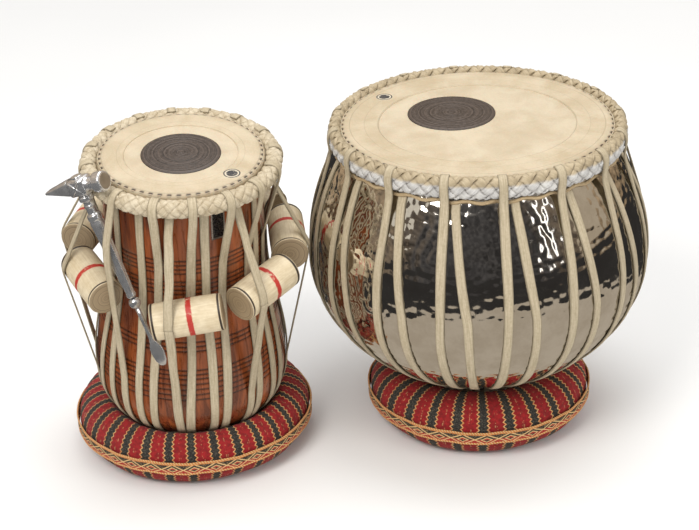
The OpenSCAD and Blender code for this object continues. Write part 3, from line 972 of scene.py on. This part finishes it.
class Block:
    """A tuning block's place: centre and axis in the treble drum's own millimetres."""

    def __init__(self, node):
        p = dayan.local(vertices(node))
        self.centre = p.mean(0)
        for _ in range(2):
            axis = unit(np.linalg.svd(p - self.centre, full_matrices=False)[2][0])
            reach = (p - self.centre) @ axis
            self.centre = self.centre + axis * (reach.min() + reach.max()) / 2
        phi = math.atan2(self.centre[1], self.centre[0])
        self.axis = axis * np.sign(axis @ (-math.sin(phi), math.cos(phi), 0))
        self.phi = math.degrees(phi)

    def crest(self, phi, angles, clear):
        """Points just off the block's surface, in the half plane at angle phi."""
        e_r = cylindrical(phi, 1.0, 0.0)
        across = cylindrical(phi + 90, 1.0, 0.0)
        along = -(self.centre @ across) / (self.axis @ across)
        start = self.centre + self.axis * along
        found = []
        for t in np.radians(angles):
            d = e_r * math.cos(t) + np.array([0, 0, math.sin(t)])
            p = start + d * (BLOCK_R + clear) / np.linalg.norm(d - self.axis * (d @ self.axis))
            found.append((p @ e_r, p[2]))
        return np.array(found)


def turn_block(i, block):
    """A slightly barrelled block with rounded edges, and end faces dished a little."""
    s = np.linspace(-BLOCK_HALF + 1.6, BLOCK_HALF - 1.6, 40)
    barrel = BLOCK_R - 0.35 * (s / BLOCK_HALF) ** 2
    edge = barrel[-1]
    round_off = [(edge - 1.6 * (1 - math.cos(t)), BLOCK_HALF - 1.6 * (1 - math.sin(t)))
                 for t in np.linspace(0.2, math.pi / 2, 6)]
    face = [(r, BLOCK_HALF - 0.25) for r in (12.5, 9, 6, 3, 0.01)]
    half = round_off + face
    profile = np.array([(r, -h) for r, h in half[::-1]] + list(zip(barrel, s)) + half)
    groove = 0.35 * np.exp(-((np.abs(profile[:, 1]) - 26.6) / 0.6) ** 2)
    profile[:, 0] -= groove * (profile[:, 0] > 13)
    x = unit(np.cross(block.axis, (0, 0, 1)))
    y = np.cross(block.axis, x)
    start = rng.uniform(0, 360)
    turn = np.arange(73) / 72
    ring = cylindrical(turn[None, :-1] * 360 + start, profile[:, :1] + 0 * turn[None, :-1],
                       profile[:, 1:] + 0 * turn[None, :-1])
    points = block.centre + ring[..., :1] * x + ring[..., 1:2] * y + ring[..., 2:] * block.axis
    along = travelled(profile)
    along *= 2 * BLOCK_MIDDLE / along[-1]
    shape = Shape()
    shape.add(dayan.place(points[:, ::-1]), turn[None, :] + i * 0.37, along[:, None],
              close_columns=True)
    shape.make(f"block_{i}", block_wood, f"gatta_{i}", [f"gatta_{i}"], "block_wood")


for i, k in enumerate(GATTA_RUNS, 1):
    block = Block(f"gatta_{i}")
    turn_block(i, block)
    phi = run_angle(k) + 360 / RUNS / 2
    crest = block.crest(phi, np.arange(86, -60, -3), LIE + 0.1)
    on_belly = lower_part("dayan", dayan_outline, 125)
    belly = on_belly[on_belly[:, 1] > 72]
    string = taut([(dayan_outline[0, 0] + 3.5, 257.0), *crest, *belly])
    whole = np.concatenate([string, on_belly[on_belly[:, 1] <= 72]])
    top = int(np.argmax(whole[:, 0] + 0.02 * whole[:, 1]))
    upper, lower = whole[:top + 1], whole[top:]
    straight = leaning(phi, phi)
    crest_point = dayan.place(cylindrical(phi, *whole[top]))
    head_point = dayan.place(cylindrical(phi, *whole[0]))
    foot_point = dayan.place(cylindrical(phi, *belly[-1]))
    halves = ((upper, "upper", "dayan_drum", f"gatta_{i}", head_point, crest_point),
              (lower, "lower", f"gatta_{i}", "dayan_drum", crest_point, foot_point))
    for profile, label, a, b, start, end in halves:
        shape = Shape()
        strap(shape, dayan, profile, straight, corner=3.0)
        piece = shape.make(f"block_strap_{i}_{label}", strap_hide, slot="rawhide")
        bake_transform(piece)
        if label == "upper":
            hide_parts(f"gatta_strap_{i}")

# ---- hammer -------------------------------------------------------------------------------

down = -joint_axis("hammer_draw")
handle = vertices("hammer_handle")
reach = handle @ down
top_ring = handle[reach < reach.min() + 1e-4]
eye = top_ring.mean(0) + down * 9 * MM
head_points = vertices("hammer_head") - eye
head_points -= np.outer(head_points @ down, down)
far_side = np.linalg.norm(head_points, axis=1)
face_way = -unit(head_points[far_side > far_side.max() - 0.5 * MM].mean(0))
hammer_axes = np.stack([face_way, np.cross(down, face_way), down])


def in_hammer(points):
    return eye + (points * MM) @ hammer_axes


def loft(shape, stations, along, across, up, corners=1.0, count=32, origin=(0, 0, 0)):
    """Closed solid through stations of (distance, half width, half height)."""
    s = np.asarray(stations, float)
    x, y = section((corners, corners), count)
    x, y = x[None, :, None], y[None, :, None]
    o = np.asarray(origin, float)
    ring = o + s[:, :1, None] * along + s[:, 1:2, None] * x * across + s[:, 2:3, None] * y * up
    travel = np.r_[0, np.cumsum(np.abs(np.diff(s[:, 0])) + np.abs(np.diff(s[:, 1])))]
    turn = np.arange(count + 1) / count
    shape.add(in_hammer(ring), turn[None, :], travel[:, None], close_columns=True)


def turned(stations):
    """Round stations (distance, radius) with rounded steps."""
    return [(d, r, r) for d, r in softened(np.array(stations, float), 0.5, 0.9)]


X, Y, Z = np.eye(3)
shape = Shape()
loft(shape, turned([(2, 0.01), (2, 6.6), (8, 6.6), (10, 5.0), (15.5, 5.2), (17, 8.2), (18.5, 8.5),
                    (24.6, 8.5), (25.8, 7.6), (25.8, 0.01)]), X, Y, Z, count=48)
block_side = [(-8.2, 0.01, 0.01), (-8.2, 6.5, 6.5), (-7.4, 7.6, 7.6), (7.4, 7.6, 7.6),
              (8.4, 6.4, 6.4), (8.6, 0.01, 0.01)]
loft(shape, block_side, X, Y, Z, corners=0.45, count=48)
wedge = [(6.9, 0.01, 0.01), (7, 5.2, 7.4), (12, 5.4, 6.6), (18, 5.4, 5.1), (25, 5.4, 3.3),
         (31, 5.4, 1.8), (33.6, 5.1, 1.1), (33.9, 0.01, 0.01)]
loft(shape, wedge, -X, -Y, Z, corners=0.5, count=48)
for turn in (45, -45):
    t = math.radians(turn)
    along_rib = math.cos(t) * X + math.sin(t) * Z
    rib_up = -math.sin(t) * X + math.cos(t) * Z
    for side_of in (-1, 1):
        loft(shape, [(-8.6, 0.01, 0.01), (-8.2, 0.8, 1.0), (0, 1.0, 1.2), (8.2, 0.8, 1.0),
                     (8.6, 0.01, 0.01)], along_rib, Y, rib_up, origin=(0, side_of * 7.4, 0))
shape.make("hammer_head_steel", steel, "hammer", ["hammer_head"], "steel")
shape = Shape()
loft(shape, turned([(25.5, 0.01), (25.7, 6.9), (26.0, 6.6), (26.0, 0.01)]), X, Y, Z, count=48)
shape.make("hammer_face", worn_face, "hammer", slot="steel")

grip_end = 108.0
grip = [(-9, 0.01), (-9, 4.4), (-8.4, 4.9), (8.6, 4.9), (9.4, 6.0), (12.6, 6.0), (13.6, 4.1),
        (16, 3.9), (18, 4.8), (20, 3.9), (24.5, 4.0), (25.8, 5.9), (29.2, 6.1), (31, 5.4), (34, 6.0),
        (60, 5.4), (88, 4.4), (98, 3.6), (101, 4.2), (102.4, 3.4)]
shape = Shape()
s = np.array(turned(grip))
flutes = 1 - 0.07 * np.clip((s[:, 0] - 34) / 6, 0, 1) * np.clip((98 - s[:, 0]) / 6, 0, 1)
a = np.arange(64) / 64 * TAU
wave = 1 - (1 - flutes[:, None]) * (0.5 + 0.5 * np.cos(a * 8))[None]
ring = np.stack([s[:, 1:2] * np.cos(a) * wave, s[:, 1:2] * np.sin(a) * wave,
                 s[:, :1] + 0 * a[None]], -1)
shape.add(in_hammer(ring), (np.arange(65) / 64)[None], s[:, :1], close_columns=True)
ball = [(grip_end + 5 * math.sin(t), max(0.01, 5 * math.cos(t)))
        for t in np.linspace(-1.57, 1.57, 24)]
loft(shape, [(d, r, r) for d, r in ball], Z, X, Y, count=32)
shape.make("hammer_grip", steel, "hammer", ["hammer_handle"], "steel")

blade = (vertices("hammer_blade") - eye) / MM
blade_reach = blade @ down
tip_part = blade[blade_reach > blade_reach.max() - 22]
tip_part = tip_part - np.outer(tip_part @ down, down)
flat_way = unit(np.linalg.svd(tip_part - tip_part.mean(0), full_matrices=False)[2][0])
flat_way = hammer_axes @ flat_way
flat_way = unit(flat_way * (1, 1, 0))
thin_way = np.cross((0, 0, 1), flat_way)
tip = blade_reach.max()
shape = Shape()
loft(shape, [(grip_end + 3, 0.01, 0.01), (grip_end + 3, 2.0, 2.0), (grip_end + 18, 1.8, 1.8),
             (tip - 26, 2.0, 1.9), (tip - 22, 3.2, 1.3), (tip - 17, 5.6, 1.15), (tip - 12, 5.9, 1.0),
             (tip - 5, 4.9, 0.8), (tip - 0.8, 2.6, 0.5), (tip, 0.01, 0.01)],
     Z, flat_way, thin_way, corners=0.8)
shape.make("hammer_blade_steel", steel, "hammer", ["hammer_blade"], "steel")

strap_r = dayan.extent("hammer_strap")[1] - 0.9
hold = np.concatenate([over_braid("dayan"),
                       np.array([(strap_r - 0.3, 228.0), (strap_r, 211.0), (strap_r - 2, 195.0)]),
                       lower_part("dayan", dayan_outline, 92)])
a = run_angle(HAMMER_RUN)
shape = Shape()
strap(shape, dayan, hold, leaning(a, a - 1.5))
shape.make("hammer_holding_strap", strap_hide, "dayan_drum", ["hammer_strap"], "rawhide")

# ---- ring cushions ------------------------------------------------------------------------

TUBE = 27.0                    # radius of a cushion's section
TUBE_Z = 25.0                  # height of its middle
PUFF_CAP = 1.2                 # the farthest a point moves when the cover is blown up
TAPE_LOW, TAPE_TOP = -12.5, 8.5     # the tape's edges, in degrees round the section
CUSHIONS = {"dayan": (dayan, dayan_outline, 31), "bayan": (bayan, bayan_outline, 26)}


def press_seat(points, drum, profile, room):
    """Moves frame points out of the space a drum and its straps take up."""
    p = drum.local(points)
    r = np.hypot(p[:, 0], p[:, 1])
    flat = profile[::-1]
    low_z = flat[0, 1]
    slope = np.gradient(flat[:, 0], flat[:, 1] + np.arange(len(flat)) * 1e-6)
    for _ in range(6):
        z = np.clip(p[:, 2], low_z, 120)
        edge = np.interp(z, flat[:, 1], flat[:, 0])
        steep = np.clip(np.interp(z, flat[:, 1], slope), -0.5, 6)
        n_r, n_z = 1 / np.hypot(1, steep), -steep / np.hypot(1, steep)
        depth = (edge - r) * n_r + room
        inside = (depth > 0) & (p[:, 2] > low_z - room) & (r < edge + room * 2)
        move = np.where(inside, depth, 0)
        new_r = r + move * n_r
        p[:, :2] *= (new_r / np.maximum(r, 1e-6))[:, None]
        p[:, 2] += move * n_z
        r = new_r
    return drum.place(p)


def puffed(piece, cap):
    """Blows the cover up as cloth, and keeps each point within cap of where it was."""
    scene = bpy.context.scene
    bpy.context.view_layer.objects.active = piece
    remesh = piece.modifiers.new("even", "REMESH")
    remesh.mode = "VOXEL"
    remesh.voxel_size = 5 * MM
    remesh.use_smooth_shade = True
    graph = bpy.context.evaluated_depsgraph_get()
    even = bpy.data.meshes.new_from_object(piece.evaluated_get(graph))
    piece.modifiers.clear()
    piece.data = even
    before = mesh_points(piece.data)
    cloth = piece.modifiers.new("cloth", "CLOTH")
    cloth.settings.use_pressure = True
    cloth.settings.uniform_pressure_force = 4
    cloth.settings.effector_weights.gravity = 0
    cloth.settings.tension_stiffness = 12
    cloth.settings.compression_stiffness = 12
    cloth.settings.quality = 4
    cloth.point_cache.frame_start, cloth.point_cache.frame_end = 1, 20
    for f in range(1, 21):
        scene.frame_set(f)
    graph = bpy.context.evaluated_depsgraph_get()
    blown = bpy.data.meshes.new_from_object(piece.evaluated_get(graph))
    after = mesh_points(blown)
    piece.modifiers.clear()
    scene.frame_set(1)
    move = after - before
    far = np.linalg.norm(move, axis=1, keepdims=True)
    move *= np.minimum(1, cap * MM / np.maximum(far, 1e-9))
    return before + move


def set_coordinates(piece, points):
    piece.data.vertices.foreach_set("co", points.astype(np.float32).ravel())
    piece.data.update()


def around_section(points, centre, mid_r):
    """Turn round the ring (0 to 1) and angle round the section, from the centre of a cushion."""
    d = points / MM - centre
    r = np.hypot(d[:, 0], d[:, 1])
    return np.arctan2(d[:, 1], d[:, 0]) / TAU, np.arctan2(d[:, 2] - TUBE_Z, r - mid_r), r


def unwrapped(values):
    """Corner values of each face with the seam's jump taken out."""
    low = values.min(1, keepdims=True)
    return np.where(values - low > 0.5, values - 1, values)


def dress(piece, centre, mid_r, drum, profile):
    """UVs and shade for a cushion cover, from where its points are."""
    mesh = piece.data
    points = mesh_points(piece.data)
    turn, psi, r = around_section(points, centre, mid_r)
    corners = np.empty(len(mesh.loops), np.int32)
    mesh.loops.foreach_get("vertex_index", corners)
    starts = np.empty(len(mesh.polygons), np.int32)
    mesh.polygons.foreach_get("loop_start", starts)
    sizes = np.diff(np.r_[starts, len(mesh.loops)])
    u, v = turn[corners], psi[corners] / TAU
    for size in np.unique(sizes):
        index = starts[sizes == size][:, None] + np.arange(size)
        u[index] = unwrapped(u[index])
        v[index] = unwrapped(v[index])
    layer = mesh.uv_layers.get("UVMap") or mesh.uv_layers.new(name="UVMap")
    layer.data.foreach_set("uv", np.stack([u, v * TAU * TUBE], 1).astype(np.float32).ravel())
    p = drum.local(points)
    # Darker where the cover lies close to the drum: painted shade.
    off = np.hypot(p[:, 0], p[:, 1]) - np.interp(p[:, 2], profile[::-1, 1], profile[::-1, 0])
    shade = np.clip(1 - off / 7, 0, 1) * 0.7
    value = mesh.attributes.get("shade") or mesh.attributes.new("shade", "FLOAT", "POINT")
    value.data.foreach_set("value", shade.astype(np.float32))
    mesh.polygons.foreach_set("use_smooth", np.ones(len(mesh.polygons), bool))


def cover_shape(centre, mid_r):
    """A filled ring cover: soft waves, puckers at the inner side and a seam behind the tape."""
    count, around = 220, 56
    turn = np.arange(count + 1) / count
    psi = np.arange(around + 1) / around * TAU
    a, s = turn[:-1, None] * TAU, psi[None, :-1]
    tube = TUBE - 0.9 + 0.25 * np.sin(5 * a + 2 * s) + 0.2 * np.sin(9 * a - s + 1)
    tube = tube - 0.55 * np.clip(np.cos(s + math.pi), 0, 1) * np.cos(a * 48) ** 2
    tube = tube - 0.6 * np.exp(-((np.degrees(s) + 2) % 360 / 8) ** 2)
    r = mid_r + tube * np.cos(s)
    z = TUBE_Z + tube * np.sin(s)
    squeeze = np.clip(2.2 - z, 0, None)
    r = r + 0.45 * squeeze * np.sign(np.cos(s))
    z = np.maximum(z, 0.35)
    points = np.stack([r * np.cos(a), r * np.sin(a), z + 0 * a], -1) + centre
    shape = Shape()
    shape.add(points * MM, turn[:, None], psi[None] * TUBE, close_rows=True, close_columns=True)
    return shape


def cushion(name):
    drum, profile, stripes = CUSHIONS[name]
    centre = middle(name + "_cushion_cover") / MM * (1, 1, 0)
    low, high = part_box(name + "_cushion_cover")
    mid_r = (high[0] - low[0]) / 2 / MM - TUBE
    look = cloth_look(name + "_cloth", stripes)
    piece = cover_shape(centre, mid_r).make(name + "_cushion", look)
    set_coordinates(piece, press_seat(mesh_points(piece.data), drum, profile, STRAP_T + 2.0))
    set_coordinates(piece, puffed(piece, PUFF_CAP))
    piece.data.materials.clear()
    piece.data.materials.append(look.material)
    fine = piece.modifiers.new("fine", "SUBSURF")
    fine.levels = fine.render_levels = 1
    graph = bpy.context.evaluated_depsgraph_get()
    smooth = bpy.data.meshes.new_from_object(piece.evaluated_get(graph))
    piece.modifiers.clear()
    piece.data = smooth
    points = mesh_points(piece.data)
    turn, psi, _ = around_section(points, centre, mid_r)
    rib = 0.35 * np.cos(turn * TAU * stripes * 2) * np.clip(np.sin(psi) + 0.6, 0, 1)
    out = np.stack([np.cos(psi) * np.cos(turn * TAU), np.cos(psi) * np.sin(turn * TAU),
                    np.sin(psi)], 1)
    points = points - out * (rib[:, None] + 0.2) * MM
    points = press_seat(points, drum, profile, STRAP_T + 0.9)
    reach = np.hypot(points[:, 0] - centre[0] * MM, points[:, 1] - centre[1] * MM)
    limit = (mid_r + TUBE + 0.4) * MM
    pull = np.minimum(1, limit / reach)[:, None]
    points[:, :2] = centre[:2] * MM + (points[:, :2] - centre[:2] * MM) * pull
    points[:, 2] = np.clip(points[:, 2], 0.0003, high[2] + 0.001)
    set_coordinates(piece, points)
    dress(piece, centre, mid_r, drum, profile)
    settle(piece, name + "_cushion", [name + "_cushion_cover"])
    tape(name, centre, mid_r, stripes + 4)


def tape_wave(a):
    """How the hand-sewn tape rises and falls round the cushion."""
    return 0.3 * np.sin(a * 13 + 1) + 0.2 * np.sin(a * 29)


def tape(name, centre, mid_r, repeats):
    """The woven tape round the outside, with a cord along each of its edges."""
    band_r = TUBE + 0.75
    psi = np.radians(np.linspace(TAPE_LOW, TAPE_TOP, 15))
    columns = 360
    turn = np.arange(columns + 1) / columns
    faces = [np.stack([mid_r + r * np.cos(p), TUBE_Z + r * np.sin(p)], 1)
             for r, p in ((band_r, psi), (band_r - 1, psi[::-1]))]
    loop = np.concatenate(faces)
    v = np.r_[psi, psi[::-1], psi[:1]] * TUBE + math.radians(2) * TUBE
    a = turn[:-1, None] * TAU
    points = np.stack([loop[None, :, 0] * np.cos(a), loop[None, :, 0] * np.sin(a),
                       loop[None, :, 1] + tape_wave(a)], -1) + centre
    shape = Shape()
    shape.add(points[:, ::-1] * MM, turn[:, None], v[None, ::-1], close_rows=True,
              close_columns=True)
    shape.make(name + "_tape", band_look(name + "_tape", repeats), name + "_cushion",
               [name + "_cushion_band"], "band_cloth")
    for label, degrees in (("upper", TAPE_TOP), ("lower", TAPE_LOW)):
        t = math.radians(degrees)
        a = np.linspace(0, TAU, 361)
        ring_r = mid_r + (band_r - 0.1) * math.cos(t)
        height = TUBE_Z + (band_r - 0.1) * math.sin(t) + tape_wave(a)
        path = cylindrical(np.degrees(a), ring_r, height) + centre
        out = cylindrical(np.degrees(a), 1.0, 0 * a)
        up = np.repeat([[0, 0, 1.0]], len(a), 0)
        shape = Shape()
        sweep(shape, path, up, out, 0.95, 0.75, lambda p: p * MM, corners=(1, 1), count=10)
        shape.make(f"{name}_cord_{label}", cord, name + "_cushion", slot="band_cloth")


cord = cord_look()
cushion("dayan")
cushion("bayan")
cotton = Look("stuffing", Roughness=0.9)
fluff = cotton.noise(cotton.where(), 260, 4)
cotton.put("Base Color", cotton.tone(fluff, 0.3, 0.7, (0.6, 0.54, 0.44), (0.8, 0.75, 0.66)))
cotton.bump(fluff, 0.6)
for name in ("dayan_cushion_stuffing", "bayan_cushion_stuffing"):
    finish_node(name, cotton)

# ---- stage, light and camera --------------------------------------------------------------


def card(name, verts, faces, strength, colour):
    """A surface that only mirrors see."""
    mesh = bpy.data.meshes.new(name)
    mesh.from_pydata([tuple(v) for v in verts], [], faces)
    piece = bpy.data.objects.new(name, mesh)
    bpy.context.scene.collection.objects.link(piece)
    glow = bpy.data.materials.new(name)
    glow.use_nodes = True
    tree = glow.node_tree
    tree.nodes.clear()
    emit = tree.nodes.new("ShaderNodeEmission")
    emit.inputs["Strength"].default_value = strength
    emit.inputs["Color"].default_value = (*colour, 1)
    output = tree.nodes.new("ShaderNodeOutputMaterial")
    tree.links.new(emit.outputs[0], output.inputs[0])
    mesh.materials.append(glow)
    for flag in ("visible_camera", "visible_diffuse", "visible_shadow", "visible_transmission",
                 "visible_volume_scatter"):
        setattr(piece, flag, False)
    return piece, tree, emit


def disc(radius, z, centre, count=96, jag=0.0):
    t = np.arange(count) / count * TAU
    r = radius * (1 + jag * np.sin(7 * t) + jag * np.sin(17 * t + 1))
    ring = [(centre[0] + q * math.cos(a), centre[1] + q * math.sin(a), z) for q, a in zip(r, t)]
    return ring, [tuple(range(count))]


verts, faces = disc(0.42, -0.002, (0.17, -0.16), jag=0.05)
card("near_cloth", verts, faces, 1.0, (0.47, 0.41, 0.33))
verts, faces = disc(4.0, -0.006, (0.0, 0.0))
card("far_floor", verts, faces, 1.0, (0.035, 0.033, 0.032))

ROOM_R = 3                     # radius of the dome that the metal mirrors, in metres
columns, rows = 48, 12
verts = []
for i in range(rows + 1):
    e = math.radians(90 * i / rows)
    for j in range(columns):
        a = j / columns * TAU
        flat = ROOM_R * math.cos(e)
        verts.append((flat * math.cos(a), flat * math.sin(a), ROOM_R * math.sin(e)))
faces = [(i * columns + j, i * columns + (j + 1) % columns, (i + 1) * columns + (j + 1) % columns,
          (i + 1) * columns + j) for i in range(rows) for j in range(columns)]
_, tree, emit = card("room", verts, faces, 1.0, (0.05, 0.05, 0.05))
links = tree.links
place = tree.nodes.new("ShaderNodeTexCoord")
split = tree.nodes.new("ShaderNodeSeparateXYZ")
links.new(place.outputs["Object"], split.inputs[0])
wobble = tree.nodes.new("ShaderNodeTexNoise")
wobble.inputs["Scale"].default_value = 1.6
wobble.inputs["Detail"].default_value = 4
links.new(place.outputs["Object"], wobble.inputs["Vector"])
side_share = tree.nodes.new("ShaderNodeMapRange")
links.new(split.outputs[1], side_share.inputs[0])
side_share.inputs[1].default_value, side_share.inputs[2].default_value = -2.4, 0.6
warm = tree.nodes.new("ShaderNodeMix")
warm.data_type = "RGBA"
links.new(side_share.outputs[0], warm.inputs[0])
warm.inputs[6].default_value = (0.055, 0.052, 0.052, 1)
warm.inputs[7].default_value = (0.34, 0.25, 0.16, 1)
spots = tree.nodes.new("ShaderNodeMix")
spots.data_type = "RGBA"
spots.blend_type = "MULTIPLY"
spots.inputs[0].default_value = 1.0
links.new(warm.outputs[2], spots.inputs[6])
contrast = tree.nodes.new("ShaderNodeMapRange")
links.new(wobble.outputs[0], contrast.inputs[0])
contrast.inputs[1].default_value, contrast.inputs[2].default_value = 0.35, 0.65
contrast.inputs[3].default_value, contrast.inputs[4].default_value = 0.55, 1.6
links.new(contrast.outputs[0], spots.inputs[7])
overhead = tree.nodes.new("ShaderNodeMapRange")
links.new(split.outputs[2], overhead.inputs[0])
overhead.inputs[1].default_value, overhead.inputs[2].default_value = 1.9, 2.5
ceiling = tree.nodes.new("ShaderNodeMix")
ceiling.data_type = "RGBA"
links.new(overhead.outputs[0], ceiling.inputs[0])
links.new(spots.outputs[2], ceiling.inputs[6])
ceiling.inputs[7].default_value = (0.72, 0.70, 0.68, 1)
links.new(ceiling.outputs[2], emit.inputs[0])


def panel(name, centre, look_at, width, height, strength, colour):
    """A bright card for mirrors, facing a point."""
    c, t = Vector(centre), Vector(look_at)
    rotation = (t - c).to_track_quat("-Z", "Y").to_matrix()
    corners = [(-1, -1), (1, -1), (1, 1), (-1, 1)]
    verts = [c + rotation @ Vector((x * width / 2, y * height / 2, 0)) for x, y in corners]
    return card(name, verts, [(0, 1, 2, 3)], strength, colour)


# Cards for the bowl: name, direction, distance, rise, width, height, strength and colour
bowl_mid = bayan_foot + (0, 0, 0.16)
for name, toward, away, rise, width, height, strength, colour in (
        ("tall_light", (0.68, -0.73, 0.10), 1.8, 0.45, 0.10, 1.2, 3.0, (1, 0.98, 0.95)),
        ("right_wall", (0.95, -0.2, 0.3), 2.2, 0.0, 1.0, 1.4, 0.55, (0.85, 0.72, 0.55)),
        ("left_wall", (-0.9, -0.55, 0.5), 2.4, 0.0, 0.5, 0.9, 0.8, (0.9, 0.85, 0.75))):
    centre = bowl_mid + unit(toward) * away + (0, 0, rise)
    panel(name, centre, bowl_mid, width, height, strength, colour)

floor_mesh = bpy.data.meshes.new("floor")
floor_mesh.from_pydata([(-6, -6, 0), (6, -6, 0), (6, 6, 0), (-6, 6, 0)], [], [(0, 1, 2, 3)])
floor = bpy.data.objects.new("floor", floor_mesh)
bpy.context.scene.collection.objects.link(floor)
floor_look = Look("floor", Roughness=0.9)
tone = floor_look.noise(floor_look.where(), 2.0, 2)
floor_look.put("Base Color", floor_look.tone(tone, 0.2, 0.8, (0.83, 0.83, 0.83),
                                             (0.87, 0.87, 0.87)))
floor_look.put("Specular IOR Level", 0.0)
floor_mesh.materials.append(floor_look.material)
floor.visible_glossy = False

world = bpy.data.worlds.new("studio")
world.use_nodes = True
world.node_tree.nodes["Background"].inputs[0].default_value = (1.0, 0.99, 0.97, 1)
world.node_tree.nodes["Background"].inputs[1].default_value = 0.62
world.cycles_visibility.glossy = False
bpy.context.scene.world = world


MIDDLE = (0, 0, 0.12)          # the lights point here


def softbox(name, at, size, power, colour=(1, 1, 1)):
    data = bpy.data.lights.new(name, "AREA")
    data.shape = "RECTANGLE"
    data.size, data.size_y = size
    data.energy = power
    data.color = colour
    light = bpy.data.objects.new(name, data)
    bpy.context.scene.collection.objects.link(light)
    light.location = at
    light.rotation_mode = "QUATERNION"
    light.rotation_quaternion = (Vector(MIDDLE) - Vector(at)).to_track_quat("-Z", "Y")
    return light


softbox("key", (-0.9, -1.5, 1.9), (1.0, 1.0), 34, (1.0, 0.97, 0.93))
softbox("top", (0.2, 0.3, 2.0), (1.6, 1.2), 20)
fill = softbox("fill", (1.7, -1.1, 0.9), (1.0, 1.2), 10, (1.0, 0.98, 0.95))
fill.visible_glossy = False

camera_data = bpy.data.cameras.new("camera")
camera_data.lens, camera_data.sensor_width = 105.7, 36
camera_data.clip_end = 50
camera = bpy.data.objects.new("camera", camera_data)
bpy.context.scene.collection.objects.link(camera)
forward = unit((0, 0.8930, -0.45006))
right = unit((0.99933, -0.01648, -0.03270))
up = np.cross(right, forward)
right = np.cross(forward, up)
at = bayan_foot + (-0.1117, -1.59452, 0.94895)
pose = np.eye(4)
pose[:3, 0], pose[:3, 1], pose[:3, 2], pose[:3, 3] = right, up, -forward, at
camera.matrix_world = Matrix(pose.tolist())
bpy.context.scene.camera = camera

bpy.context.scene.view_settings.view_transform = "Standard"
